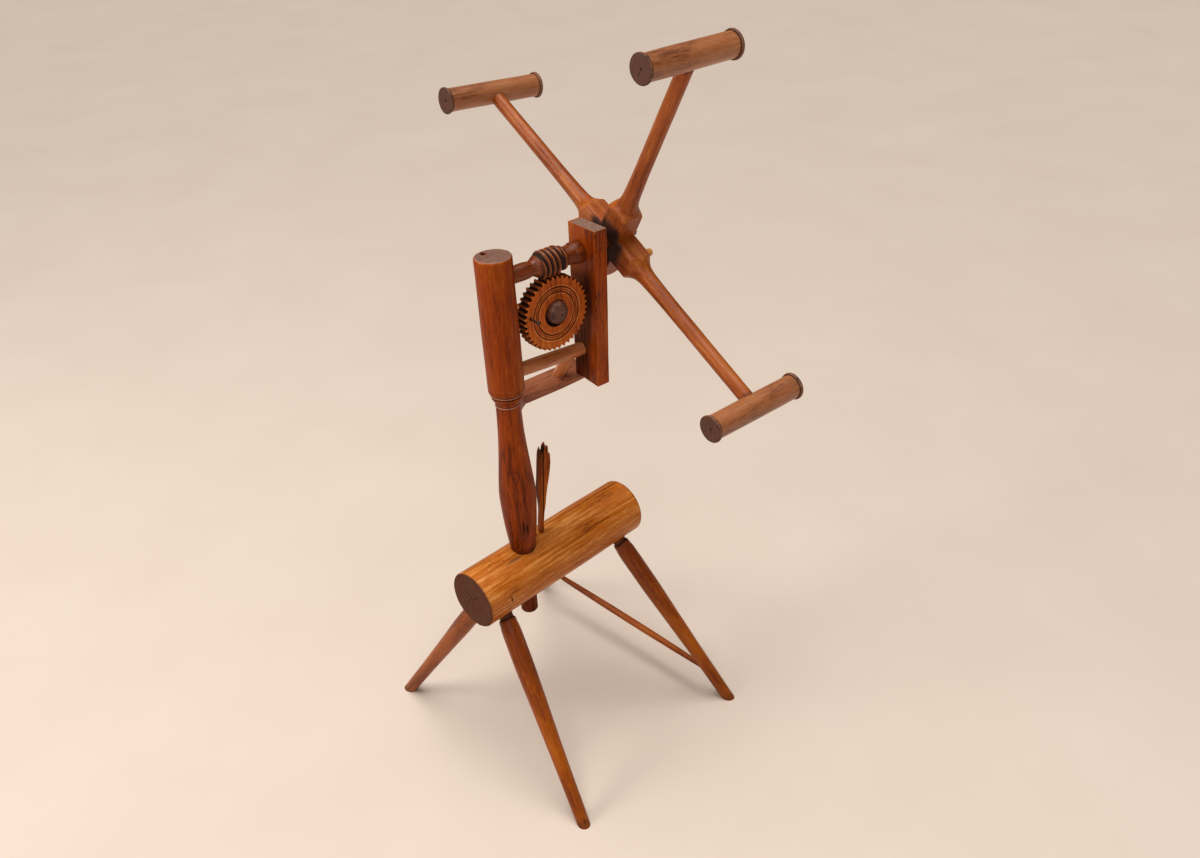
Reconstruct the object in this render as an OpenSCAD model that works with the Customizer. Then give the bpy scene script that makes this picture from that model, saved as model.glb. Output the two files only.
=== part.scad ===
// Floor-standing geared reel for winding skeins, in turned and planed wood.
// A log on four legs carries a post. The post and a hanging board hold the reel's axle between them,
// and a worm cut in the axle drives a toothed counting wheel below it.
// Origin: on the floor, under the middle of the object's box. +Y runs along the axle, towards the reel.

/* [Stand] */
// Diameter of the log that forms the base
log_d = 87; // [82:1:92]
// Length of the log
log_len = 307; // [300:1:320]
// Height of the log's axis above the floor
log_z = 310; // [300:1:320]
// Distance from the post's axis to the log's front end
log_front = 99; // [92:1:107]
// Turn of the log and its legs about the post
base_turn = 5.5; // [0:0.5:8]
// Height of the stretcher at the back right leg
stretcher_z = 47; // [40:1:70]

/* [Post and board] */
// Height of the post's top above the floor
post_top = 804.6; // [800:0.2:810]
// Diameter of the post's straight head
post_d = 50.4; // [48:0.2:52]
// Height of the reel's axle above the floor
axle_z = 769.4; // [765:0.2:771]
// Distance from the post's axis to the board's near face
board_y = 134.5; // [134.5:0.5:137]
// Thickness of the board
board_t = 20.8; // [18:0.2:22]

/* [Counter] */
// Number of teeth on the counting wheel
teeth = 40; // [36:1:40]
// Pitch diameter of the wheel per tooth
tooth_module = 2.5; // [2.3:0.1:2.5]
// Thickness of the wheel
wheel_t = 20; // [16:1:20]

/* [Reel] */
// Distance from the axle to each crossbar's axis
reel_r = 303; // [290:1:310]
// Largest diameter of a crossbar, at its end lips
bar_d = 37.2; // [35:0.2:40]
// Distance from the post's axis to the middle of the arms
arm_y = 195.5; // [195:0.5:197]
// Width of an arm's square hub block
block_w = 38; // [34:1:40]
// Depth of an arm's square hub block along the axle
block_d = 36; // [34:1:38]

/* [Hidden] */
$fn = 96;

far = 600;                      // reach of cuts that pass right through
eps = 1;                        // how far a cut starts outside the face it enters
log_colour = "#b07436";
post_colour = "#96501f";
leg_colour = "#8a4a22";
board_colour = "#8b3f1c";
wheel_colour = "#a8642c";
reel_colour = "#8c4f2a";
peg_colour = "#c08a52";
iron_colour = "#3b3330";

post_x = 3.6;                   // post's axis, from the origin
post_y = -70.5;
log_x = 0.3;                    // log's axis below the post, from the origin
log_r = log_d / 2;
post_r = post_d / 2;

// Legs: [foot x, foot y, y where the leg's line meets the log's axis], from the post's foot
front_left = [-212, -102, -57];
front_right = [200, -98, -57];
back_left = [-252, 231, 163];
back_right = [195, 238, 165];
leg_socket_s = 20;              // bottom of a leg's socket, from the log's axis
leg_tenon_r = 10.5;
stretcher_r = 4.4;              // at its ends
stretcher_rise = 17;            // from the right leg to the left one
stretcher_short = 4;            // distance from its ends to the legs' axes

post_tenon_r = 13;
post_tenon_z = 235;             // lower end of the post's tenon, under the log
post_foot_r = 17.8;
post_foot_z = log_z + 39.5;     // flat seat cut in the log for the post's shoulder
top_hole = [-13, -5];
top_hole_r = 4;
top_hole_depth = 25;
clicker_root = [-11, 39, 330];
clicker_head = [3, 48, 500];
clicker_t = 9;
clicker_edges = [-4, 2];         // of its foot, which stands in the log

running = 0.05;                 // radial clearance of every running fit
axle_blind_y = -12;             // front end of the axle, inside the post
axle_front_r = 11.3;
axle_back_r = 10;
hub_square = 14;
axle_end_y = 234;
key_size = [30, 4.5, 6];        // across the axle, along it, and through it

pitch_r = teeth * tooth_module / 2;
lead = PI * tooth_module;       // advance of the single thread in one turn
worm_pitch_r = 18.1;
worm_r = 19.2;
worm_core_r = 14.7;
worm_turns = 4.5;
worm_phase = 52;                // turn from the top of the crest that is level with the wheel's middle
wheel_y = 81.6;
wheel_z = axle_z - pitch_r - worm_pitch_r;
wheel_face = 13.3;              // x of the wheel's front
wheel_tip_r = pitch_r + 2.3;
wheel_root_r = pitch_r - 1.8;
tooth_half = 1.9;               // half of a tooth's thickness at the pitch circle
thread_half = 1.3;
flank = tan(35);
pin_r = 15.95;
pin_tenon_r = 9;                // behind the wheel, in the rail
pin_rim = 18.5;                 // radius of the recess round the pin's nose
recess = 8.5;                   // its depth
pin_nose_r = 15.5;
pin_rise = 2.4;                 // of the nose's middle above the pin's axis
nail_angle = 172;
nail_at = 42;

rail_x = -13;                   // front of the rail behind the wheel
rail_t = 18;
rail_h = 21;
rail_y = 8;
rod_r = 9.6;
rod_front = [-8, 6, 630.2];
rod_back = [-8, board_y + 14, 621.1];
mortise = 14;                   // depth of a socket in the board

shelf_z = 576;                  // top of the shelf, which carries the board's lower end
shelf_t = 15;
shelf_outline = [[-60, 161], [-60, 33], [-14, -4], [-2, 12], [-26, 46], [-16, 101], [-12, 133],
    [-12, 161]];
shelf_under = [46, board_y];    // y between which the underside rises
strut_foot = [-39, 115, shelf_z];
strut_top = [-9, 118, 624];

arm_angles = [150, 60];         // beam and single arm, from +X towards +Z
// Crossbars, each drilled by hand: [angle, reach past reel_r, ends from the arm in front and behind,
// twist about the arm, skew in the arm's plane]
left_bar = [150, -5, 80.5, 76, 2, 2.9];
top_bar = [60, 0, 78, 70, 0.6, 0.3];
right_bar = [-30, 0, 77.6, 73.5, 0.5, 0.4];
stub_s = 62;                    // end of the stub of the missing arm
arm_end_r = 10;
arm_end_past = 2;               // how far an arm's end passes its crossbar's axis
peg_s = 40;
peg_r = 5.5;

// Smooth curve through points, with steps pieces between neighbours
function spline(a, b, c, d, t) = 0.5 * (2 * b + (c - a) * t
    + (2 * a - 5 * b + 4 * c - d) * t * t + (3 * b - a - 3 * c + d) * t * t * t);
function smooth(p, steps = 4) = [
    for (i = [0 : len(p) - 2])
        for (j = [0 : steps - 1])
            spline(p[max(i - 1, 0)], p[i], p[i + 1], p[min(i + 2, len(p) - 1)], j / steps),
    p[len(p) - 1]];
// Arc of an outline: centre c, radius r, from angle a to angle b
function arc(c, r, a, b, steps = 6) =
    [for (i = [0 : steps]) c + r * [cos(a + (b - a) * i / steps), sin(a + (b - a) * i / steps)]];

// Frames: the post's axis on the floor, and the log's axis below it with the stand's turn
module on_head() {
    translate([post_x, post_y, 0]) children();
}

module on_stand() {
    translate([log_x, post_y, 0]) rotate([0, 0, base_turn]) children();
}

// Lathe work about +Z: [radius, height] points, closed along the axis
module turned(outline) {
    last = len(outline) - 1;
    rotate_extrude() polygon(concat([[0, outline[0].y]], outline, [[0, outline[last].y]]));
}

// Lays +Z work along +Y, at height z
module along_y(z, x = 0, y = 0) {
    translate([x, y, z]) rotate([-90, 0, 0]) children();
}

// Lays +Z work along the line from a towards b
module aim(a, b) {
    d = b - a;
    translate(a) rotate([0, acos(d.z / norm(d)), atan2(d.y, d.x)]) children();
}

// ---- Stand ----

function leg_top(leg) = [0, leg[2], log_z];
function leg_foot(leg) = [leg[0], leg[1], 0];
function leg_at(leg, z) = leg_top(leg) + (leg_foot(leg) - leg_top(leg)) * (log_z - z) / log_z;

stretcher_ends = [leg_at(back_left, stretcher_z + stretcher_rise), leg_at(back_right, stretcher_z)];
stretcher_len = norm(stretcher_ends[1] - stretcher_ends[0]) - 2 * stretcher_short;

module base_log() {
    edge = 2.5;
    color(log_colour) difference() {
        on_stand() along_y(log_z, y = -log_front) turned(concat(
            arc([log_r - edge, edge], edge, -90, 0),
            arc([log_r - edge, log_len - edge], edge, 0, 90)));
        on_stand() for (leg = [front_left, front_right, back_left, back_right])
            aim(leg_top(leg), leg_foot(leg))
                translate([0, 0, leg_socket_s]) cylinder(r = leg_tenon_r, h = log_r);
        on_head() translate([0, 0, post_tenon_z]) cylinder(r = post_tenon_r, h = far);
        on_head() translate([0, 0, post_foot_z]) cylinder(r = post_foot_r + 0.4, h = far);
        on_head() clicker_line() clicker_foot();
    }
}

module leg_blank(leg) {
    length = norm(leg_foot(leg) - leg_top(leg));
    color(leg_colour) on_stand() intersection() {
        aim(leg_top(leg), leg_foot(leg)) rotate([0, 0, 90]) turned(concat(
            [[leg_tenon_r - 1, leg_socket_s], [leg_tenon_r, leg_socket_s + 1], [leg_tenon_r, 50]],
            smooth([[12, 50.5], [12.9, 53], [13.1, 58], [14.2, 68], [14.4, 95], [14.2, 135],
                [12.6, 200], [11, 270]]),
            [[9.9, 345], [9.2, length + 15]]));
        translate([-far, -far, 0]) cube([2 * far, 2 * far, log_z]);
    }
}

module leg_front_left() {
    leg_blank(front_left);
}

module leg_front_right() {
    leg_blank(front_right);
}

module leg_back_left() {
    difference() {
        leg_blank(back_left);
        stretcher_line() cylinder(r = stretcher_r, h = stretcher_len);
    }
}

module leg_back_right() {
    difference() {
        leg_blank(back_right);
        stretcher_line() cylinder(r = stretcher_r, h = stretcher_len);
    }
}

module stretcher_line() {
    on_stand() aim(stretcher_ends[0], stretcher_ends[1]) translate([0, 0, stretcher_short]) children();
}

module back_stretcher() {
    color(leg_colour) stretcher_line() turned(concat(
        [[stretcher_r, 0]],
        smooth([[stretcher_r, 15], [5.3, 0.2 * stretcher_len], [6, 0.5 * stretcher_len],
            [5.3, 0.8 * stretcher_len], [stretcher_r, stretcher_len - 15]]),
        [[stretcher_r, stretcher_len]]));
}

// ---- Post and its fittings ----

module main_post() {
    edge = 4;
    color(post_colour) on_head() difference() {
        turned(concat(
            [[post_tenon_r - 1.5, post_tenon_z], [post_tenon_r, post_tenon_z + 2],
                [post_tenon_r, post_foot_z]],
            smooth([[post_foot_r, post_foot_z], [19.9, 362], [22.8, 386], [24.8, 410], [26.6, 444],
                [25, 470], [21.6, 506], [18.9, 542], [18, 564], [17.4, 584], [17.2, 589.8]]),
            arc([15.9, 592], 2.1, -40, 40),
            smooth([[17.2, 594.2], [17.6, 596], [18.6, 598.6], [20, 601]]),
            arc([20, 604.6], 1.8, -45, 45),
            [[20.5, 607]],
            arc([21.3, 609.6], 1.8, -50, 45),
            [[21.6, 611.4], [23.6, 612.4], [24.7, 613.4], [post_r - 0.1, 615]],
            arc([post_r - edge, post_top - edge], edge, 0, 90)));
        along_y(axle_z, y = axle_blind_y) cylinder(r = axle_front_r + running, h = far);
        aim(rod_front, rod_back) cylinder(r = rod_r, h = far);
        rail_bar();
        shelf_slat();
        translate([top_hole.x, top_hole.y, post_top - top_hole_depth]) cylinder(r = top_hole_r, h = far);
    }
}

// The clicker's slat leans away from the post and ends in torn splinters
module clicker_line() {
    aim(clicker_root, clicker_head) rotate([0, 0, -42]) children();
}

module clicker_foot() {
    translate([-clicker_t / 2, clicker_edges[0], 0])
        cube([clicker_t, clicker_edges[1] - clicker_edges[0], 60]);
}

module clicker_stub() {
    torn_edge = [[10.8, 148], [8, 163], [9.2, 166], [4.4, 179], [2.5, 168], [0, 184], [-2, 171],
        [-4, 174], [-5, 158], [-7.5, 181], [-9, 168], [-8.6, 100]];
    color(leg_colour) on_head() clicker_line() translate([-clicker_t / 2, 0, 0])
        rotate([90, 0, 90]) linear_extrude(clicker_t)
            polygon(concat([[clicker_edges[0], 0], [clicker_edges[1], 0], [clicker_edges[1], 60]],
                torn_edge, [[clicker_edges[0], 60]]));
}

module bearing_board() {
    outline = [[-24.5, shelf_z], [-12, shelf_z], [25, 573], [35.5, 806], [-20.5, 806]];
    color(board_colour) on_head() difference() {
        translate([0, board_y + board_t, 0]) rotate([90, 0, 0]) linear_extrude(board_t) polygon(outline);
        along_y(axle_z, y = board_y - eps) cylinder(r = axle_back_r + running, h = board_t + 2 * eps);
        aim(rod_front, rod_back) cylinder(r = rod_r, h = norm(rod_back - rod_front));
        rail_bar();
    }
}

module spacer_rod() {
    length = norm(rod_back - rod_front);
    color(leg_colour) on_head() aim(rod_front, rod_back) turned(concat(
        [[rod_r, 0]],
        smooth([[rod_r, 18], [rod_r + 0.4, 60], [rod_r, length - mortise - 1]]),
        [[rod_r, length]]));
}

// Slat whose underside rises towards the board
module shelf_slat() {
    rise = 10;
    slope = atan2(rise, shelf_under[1] - shelf_under[0]);
    difference() {
        translate([0, 0, shelf_z - shelf_t]) linear_extrude(shelf_t) polygon(shelf_outline);
        translate([-far / 2, shelf_under[0], shelf_z - shelf_t]) rotate([slope, 0, 0])
            translate([0, 0, -shelf_t]) cube([far, far, shelf_t]);
    }
}

module lower_shelf() {
    color(log_colour) on_head() shelf_slat();
}

module shelf_strut() {
    length = norm(strut_top - strut_foot);
    color(leg_colour) on_head() difference() {
        intersection() {
            aim(strut_foot, strut_top) translate([0, 0, -10]) cylinder(r1 = 8.4, r2 = 9.5, h = length + 10);
            translate([-far / 2, 0, shelf_z]) cube(far);
        }
        aim(rod_front, rod_back) cylinder(r = rod_r + 0.45, h = far);
    }
}

module rail_bar() {
    translate([rail_x - rail_t, rail_y, wheel_z - rail_h / 2])
        cube([rail_t, board_y + mortise - rail_y, rail_h]);
}

module wheel_rail() {
    color(leg_colour) on_head() difference() {
        rail_bar();
        on_wheel() translate([0, 0, rail_x - rail_t - eps]) cylinder(r = pin_tenon_r, h = far);
    }
}

// ---- Counting wheel ----

// Lays +Z work along +X through the wheel's middle
module on_wheel() {
    translate([0, wheel_y, wheel_z]) rotate([90, 0, 90]) children();
}

module wheel_pin() {
    seat = wheel_face - recess + 0.6;
    color(reel_colour) on_head() on_wheel() {
        turned([[pin_tenon_r - 1, rail_x - rail_t - 3], [pin_tenon_r, rail_x - rail_t - 2],
            [pin_tenon_r, rail_x], [pin_r, rail_x], [pin_r, seat + 0.5]]);
        translate([0, pin_rise, 0]) turned(concat(
            [[pin_nose_r, seat]],
            smooth([[pin_nose_r, wheel_face + 3], [14.5, wheel_face + 6], [10.8, wheel_face + 8.8],
                [5.2, wheel_face + 10.6], [0.5, wheel_face + 11.2]])));
    }
}

module counting_wheel() {
    tip = tooth_half - (wheel_tip_r - pitch_r) * flank;
    root = tooth_half + (pitch_r - wheel_root_r) * flank;
    // the gap that holds the thread under the worm stands beside the wheel's top
    first = 90 - (180 - worm_phase) / teeth + 180 / teeth;
    function polar(r, side, k) = r * [cos(first + 360 * k / teeth + side / r * 180 / PI),
        sin(first + 360 * k / teeth + side / r * 180 / PI)];
    color(wheel_colour) on_head() on_wheel() difference() {
        translate([0, 0, wheel_face - wheel_t]) linear_extrude(wheel_t) polygon([
            for (k = [0 : teeth - 1])
                for (p = [[wheel_root_r, -root], [wheel_tip_r, -tip], [wheel_tip_r, tip],
                        [wheel_root_r, root]])
                    polar(p[0], p[1], k)]);
        translate([0, 0, -far / 2]) cylinder(r = pin_r + running, h = far);
        translate([0, 0, wheel_face - recess]) cylinder(r = pin_rim, h = far);
        for (r = [26, 31.5, 37]) face_groove(r);
        nail_shank();
    }
}

// Turned decoration groove in the wheel's face
module face_groove(r) {
    depth = 1.2;
    width = 1.6;
    rotate_extrude() polygon([[r - width, wheel_face + eps], [r - width, wheel_face],
        [r, wheel_face - depth], [r + width, wheel_face], [r + width, wheel_face + eps]]);
}

module nail_shank() {
    translate([nail_at * cos(nail_angle), nail_at * sin(nail_angle), wheel_face - 12])
        cylinder(r = 1.6, h = 26);
}

module strike_nail() {
    color(iron_colour) on_head() on_wheel() {
        nail_shank();
        translate([nail_at * cos(nail_angle), nail_at * sin(nail_angle), wheel_face + 13])
            cylinder(r1 = 3, r2 = 2.4, h = 1.6);
    }
}

// ---- Axle ----

// Single thread about +Z, which fades at both ends. Its root is sunk in the axle's core.
module worm_thread() {
    per_turn = 24;
    steps = round(worm_turns * per_turn);
    sunk = 10;
    foot_r = 14.4;
    fade = 0.35;
    crest_half = thread_half - (worm_r - worm_pitch_r) * flank;
    foot_half = thread_half + (worm_pitch_r - foot_r) * flank;
    section = [[sunk, -3.6], [foot_r, -foot_half], [worm_r, -crest_half], [worm_r, crest_half],
        [foot_r, foot_half], [sunk, 3.6]];
    count = len(section);
    function grown(turn) = min(1, (turn + 0.02) / fade, (worm_turns + 0.02 - turn) / fade);
    points = [
        for (i = [0 : steps])
            let (turn = worm_turns * i / steps,
                 angle = 360 * (turn - worm_turns / 2) + worm_phase - 90,
                 size = grown(turn))
                for (p = section)
                    let (r = sunk + (p[0] - sunk) * size)
                        [r * cos(angle), r * sin(angle), lead * (turn - worm_turns / 2) + p[1] * size]];
    sides = [
        for (i = [0 : steps - 1])
            for (j = [0 : count - 1])
                let (k = (j + 1) % count)
                    [i * count + j, i * count + k, (i + 1) * count + k, (i + 1) * count + j]];
    ends = [[for (j = [0 : count - 1]) count - 1 - j], [for (j = [0 : count - 1]) steps * count + j]];
    polyhedron(points, concat(sides, ends));
}

module reel_axle() {
    square_y = arm_y - block_d / 2;
    back_y = arm_y + block_d / 2;
    color(reel_colour) on_head() difference() {
        along_y(axle_z) {
            turned(concat(
                [[axle_front_r, axle_blind_y + 0.5], [axle_front_r, 29]],
                smooth([[axle_front_r, 29.5], [11.6, 41], [11.2, 49], [10.4, 54], [11.6, 58],
                    [worm_core_r, 63.5]]),
                [[worm_core_r, 101], [16.5, 101], [16.5, 104]],
                smooth([[16.2, 104.8], [13.2, 107.5], [12.9, 110], [13.6, 117], [14.3, 121]]),
                smooth([[15, 121.5], [15.6, 126], [15.6, 131], [15.2, board_y - 0.6]]),
                [[axle_back_r, board_y - 0.6], [axle_back_r, square_y]]));
            translate([0, 0, wheel_y]) worm_thread();
            translate([0, 0, back_y - eps]) cylinder(r = hub_square / 2, h = axle_end_y - back_y + eps);
            rotate([0, 0, -arm_angles[1]]) translate([-hub_square / 2, -hub_square / 2, square_y - eps])
                cube([hub_square, hub_square, block_d + eps]);
        }
        key_bar();
    }
}

module key_bar() {
    on_arm(arm_angles[1]) translate([-key_size.x / 2, arm_y + block_d / 2, -key_size.z / 2])
        cube(key_size);
}

module hub_key() {
    color(peg_colour) on_head() key_bar();
}

// ---- Reel ----

// Lays +X work along an arm that stands at angle a from +X towards +Z
module on_arm(a) {
    translate([0, 0, axle_z]) rotate([0, -a, 0]) children();
}

// Long square bar with chamfered edges, from s0 to s1 along an arm
module arm_prism(s0, s1) {
    chamfer = 3.5;
    w = block_w / 2;
    d = block_d / 2;
    translate([s0, arm_y, 0]) rotate([90, 0, 90]) linear_extrude(s1 - s0) polygon([
        [d - chamfer, -w], [d, chamfer - w], [d, w - chamfer], [d - chamfer, w],
        [chamfer - d, w], [-d, w - chamfer], [-d, chamfer - w], [chamfer - d, -w]]);
}

module arm_turning(outline) {
    translate([0, arm_y, 0]) rotate([0, 90, 0]) turned(outline);
}

// Whole arm: a square block that runs out into a round arm. block_s is the end of the full square.
module arm_half(block_s, bar) {
    end_s = reel_r + bar[1] + arm_end_past;
    intersection() {
        arm_prism(0, end_s);
        arm_turning(concat(
            [[28, 0], [28, block_s]],
            smooth([[25, block_s + 1], [19.5, block_s + 6], [14.6, block_s + 14], [12.3, block_s + 24],
                [11.3, block_s + 42], [10.5, block_s + 80], [10.2, 220], [arm_end_r, 285]]),
            [[arm_end_r, end_s]]));
    }
}

// Lap shared by the two crossing pieces: side -1 is the half nearer the board, 1 the outer half
module lap(a, side) {
    intersection() {
        on_arm(a) arm_prism(-block_w, block_w);
        translate([-far / 2, side > 0 ? arm_y : arm_y - far, axle_z - far / 2]) cube(far);
    }
}

module hub_hole() {
    on_arm(arm_angles[1]) translate([-hub_square / 2, 0, -hub_square / 2])
        cube([hub_square, far, hub_square]);
}

module arm_beam() {
    color(reel_colour) on_head() difference() {
        union() {
            on_arm(left_bar[0]) arm_half(50, left_bar);
            on_arm(right_bar[0]) arm_half(50, right_bar);
        }
        lap(arm_angles[1], 1);
        hub_hole();
        on_arm(right_bar[0]) peg_socket();
    }
}

module arm_single() {
    color(reel_colour) on_head() difference() {
        union() {
            on_arm(top_bar[0]) arm_half(50, top_bar);
            on_arm(arm_angles[1] - 180) intersection() {
                arm_prism(0, stub_s);
                arm_turning(concat([[28, 0], [28, 41]],
                    smooth([[26, 43], [20, 53], [12, 59], [4, stub_s - 0.3], [0.5, stub_s]])));
            }
        }
        lap(arm_angles[0], -1);
        hub_hole();
    }
}

module peg_socket() {
    translate([peg_s, arm_y + block_d / 2 - 12, 0]) rotate([-90, 0, 0]) cylinder(r = peg_r, h = far);
}

module turning_peg() {
    length = 30;
    color(peg_colour) on_head() on_arm(right_bar[0])
        translate([peg_s, arm_y + block_d / 2 - 12, 0]) rotate([-90, 0, 0])
            turned(concat([[peg_r, 0]], arc([peg_r - 4, length - 4], 4, 0, 90)));
}

// Lipped crossbar, turned about its own length and set across its arm
module crossbar(bar) {
    lip_r = bar_d / 2;
    body_r = lip_r - 2;
    lip = 4.5;
    length = bar[2] + bar[3];
    reach = reel_r + bar[1];
    color(reel_colour) on_head() on_arm(bar[0]) difference() {
        translate([reach, arm_y, 0]) rotate([bar[4], 0, bar[5]]) rotate([-90, 0, 0])
            translate([0, 0, -bar[2]]) turned(concat(
                arc([lip_r - 1.5, 1.5], 1.5, -90, 0),
                [[lip_r, lip - 1], [body_r, lip + 0.6], [body_r, length - lip - 0.6],
                    [lip_r, length - lip + 1]],
                arc([lip_r - 1.5, length - 1.5], 1.5, 0, 90)));
        translate([0, arm_y, 0]) rotate([0, 90, 0]) cylinder(r = arm_end_r, h = reach + arm_end_past);
    }
}

module crossbar_left() {
    crossbar(left_bar);
}

module crossbar_top() {
    crossbar(top_bar);
}

module crossbar_right() {
    crossbar(right_bar);
}

base_log();
leg_front_left();
leg_front_right();
leg_back_left();
leg_back_right();
back_stretcher();
main_post();
clicker_stub();
bearing_board();
spacer_rod();
lower_shelf();
shelf_strut();
wheel_rail();
wheel_pin();
counting_wheel();
strike_nail();
reel_axle();
hub_key();
arm_beam();
arm_single();
crossbar_left();
crossbar_top();
crossbar_right();
turning_peg();
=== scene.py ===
"""Visual model of a floor-standing geared skein reel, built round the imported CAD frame.

Shapes are made in millimetres in a frame of their own, with +Z along the grain, and each object's matrix puts
its frame where the CAD has the same part.
"""

import math

import bmesh
import bpy
import numpy as np
from mathutils import Matrix, Vector


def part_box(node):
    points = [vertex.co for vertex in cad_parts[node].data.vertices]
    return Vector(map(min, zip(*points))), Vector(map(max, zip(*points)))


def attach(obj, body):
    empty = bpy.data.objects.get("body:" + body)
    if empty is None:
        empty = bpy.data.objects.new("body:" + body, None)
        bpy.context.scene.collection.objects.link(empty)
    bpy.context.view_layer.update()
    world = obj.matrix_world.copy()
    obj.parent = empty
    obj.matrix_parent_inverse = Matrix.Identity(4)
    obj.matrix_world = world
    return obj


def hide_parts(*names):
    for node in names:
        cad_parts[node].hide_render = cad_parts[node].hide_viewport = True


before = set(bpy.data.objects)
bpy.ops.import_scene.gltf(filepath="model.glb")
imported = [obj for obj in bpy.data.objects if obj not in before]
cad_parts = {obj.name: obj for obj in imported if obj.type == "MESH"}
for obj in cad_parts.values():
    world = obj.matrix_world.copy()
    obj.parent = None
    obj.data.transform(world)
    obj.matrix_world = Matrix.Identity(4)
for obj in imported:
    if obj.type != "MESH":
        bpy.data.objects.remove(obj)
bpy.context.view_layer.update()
MM = 0.001

# --- sizes, in millimetres

LOG_R, LOG_LEN, LOG_Z, LOG_FRONT = 43.5, 307, 310, 99
BASE_TURN = 5.5
LEG_TENON_R, LEG_SOCKET = 10.5, 20
FEET = {
    "front_left": (-212, -102, -57),
    "front_right": (200, -98, -57),
    "back_left": (-252, 231, 163),
    "back_right": (195, 238, 165),
}
POST_R, POST_TOP, POST_FOOT_Z = 25.2, 804.6, 349.5
AXLE_Z = 769.4
BOARD_Y, BOARD_T = 134.5, 20.8
SHELF_Z, SHELF_T = 576, 15
WHEEL_Y, PITCH_R, LEAD, TEETH = 81.6, 50.0, math.pi * 2.5, 40
WORM_PITCH_R, WORM_R, WORM_CORE_R, WORM_TURNS, WORM_PHASE = 18.1, 19.2, 14.7, 4.5, 52
WHEEL_Z = AXLE_Z - PITCH_R - WORM_PITCH_R
WHEEL_FACE, WHEEL_T, RECESS, RECESS_R = 13.3, 20, 8.5, 18.5
PIN_R, PIN_NOSE_R, PIN_RISE, RAIL_FRONT = 15.95, 15.5, 2.4, -13
FLANK = math.tan(math.radians(35))
ARM_Y, BLOCK_W, BLOCK_D, CHAMFER = 195.5, 38, 36, 3.5
REEL_R, ARM_PAST = 303, 2
BEAM_ANGLE, SINGLE_ANGLE = -30, 60
# angle, reach past the reel's radius, ends in front and behind the arm, twist, skew
BARS = {
    "crossbar_left": (150, -5, 80.5, 76, 2, 2.9),
    "crossbar_top": (60, 0, 78, 70, 0.6, 0.3),
    "crossbar_right": (-30, 0, 77.6, 73.5, 0.5, 0.4),
}
ROD_FRONT, ROD_BACK, ROD_R = (-8, 6, 630.2), (-8, BOARD_Y + 14, 621.1), 9.6

# --- frames


def place(x=0, y=0, z=0, *turns):
    """The frame at a point in millimetres, turned by (axis, degrees) in order."""
    matrix = Matrix.Translation(Vector((x, y, z)) * MM)
    for axis, degrees in turns:
        matrix = matrix @ Matrix.Rotation(math.radians(degrees), 4, axis)
    return matrix


def aim(a, b):
    """The frame at a whose +Z points at b."""
    d = Vector(b) - Vector(a)
    heading, tilt = math.atan2(d.y, d.x), math.acos(d.z / d.length)
    return place(*a, ("Z", math.degrees(heading)), ("Y", math.degrees(tilt)))


def middle(node):
    low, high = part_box(node)
    return (low + high) / 2


post_axis = middle("main_post")
log_middle = middle("base_log")
turn = math.radians(BASE_TURN)
along = (LOG_LEN / 2 - LOG_FRONT) * MM
HEAD = Matrix.Translation((post_axis.x, post_axis.y, 0))
STAND = Matrix.Translation(
    (log_middle.x + along * math.sin(turn), log_middle.y - along * math.cos(turn), 0)
) @ Matrix.Rotation(turn, 4, "Z")
ON_AXLE = HEAD @ place(0, 0, AXLE_Z, ("X", -90))
ON_WHEEL = HEAD @ place(0, WHEEL_Y, WHEEL_Z, ("Z", 90), ("X", 90))
ON_ROD = HEAD @ aim(ROD_FRONT, ROD_BACK)
ROD_LENGTH = math.dist(ROD_FRONT, ROD_BACK)


def on_arm(angle):
    """The frame at the hub's middle with +Z along an arm and +Y along the axle."""
    return HEAD @ place(0, 0, AXLE_Z, ("Y", 90 - angle)) @ place(0, ARM_Y, 0)


# --- outlines and surfaces


def smooth(points, steps=6):
    """Curve through the points."""
    p = np.array(points, float)
    p = np.vstack([p[0], p, p[-1]])
    t = np.arange(steps)[:, None] / steps
    out = []
    for a, b, c, d in zip(p, p[1:], p[2:], p[3:]):
        square, cube = 2 * a - 5 * b + 4 * c - d, 3 * b - a - 3 * c + d
        out.append(0.5 * (2 * b + (c - a) * t + square * t**2 + cube * t**3))
    return [tuple(q) for q in np.vstack(out + [p[-1:]])]


def arc(cx, cy, r, a, b, steps=5):
    angles = np.radians(np.linspace(a, b, steps + 1))
    return [(cx + r * math.cos(t), cy + r * math.sin(t)) for t in angles]


def polar(r, degrees, z):
    """Points at a radius, an angle and a height."""
    t = np.radians(degrees)
    return np.stack(np.broadcast_arrays(r * np.cos(t), r * np.sin(t), z), -1)


def resampled(outline, step):
    """The outline with extra points, no further apart than the step."""
    out = []
    for a, b in zip(outline, outline[1:]):
        count = max(1, math.ceil(math.dist(a, b) / step))
        out += [tuple(np.add(a, np.subtract(b, a) * i / count)) for i in range(count)]
    return np.array(out + [outline[-1]], float)


def lattice(cell, seed):
    """Hash of whole-number places, from -1 to 1. The multipliers are large primes."""
    x, y, z = np.moveaxis(cell, -1, 0)
    n = (x * 73856093) ^ (y * 19349663) ^ (z * 83492791) ^ (seed * 2654435761)
    n = ((n ^ (n >> 13)) * 1274126177) & 0x7FFFFFFF
    return ((n ^ (n >> 16)) & 0xFFFF) / 32767.5 - 1


def fuzz(points, size, seed=0):
    """Smooth noise from -1 to 1, with cells of the given size (one number, or three)."""
    q = np.asarray(points, float) / size
    cell = np.floor(q).astype(np.int64)
    t = q - cell
    t = t * t * (3 - 2 * t)
    total = 0
    for corner in np.ndindex(2, 2, 2):
        weight = np.prod(np.where(corner, t, 1 - t), axis=-1)
        total = total + weight * lattice(cell + np.array(corner), seed)
    return total


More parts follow.
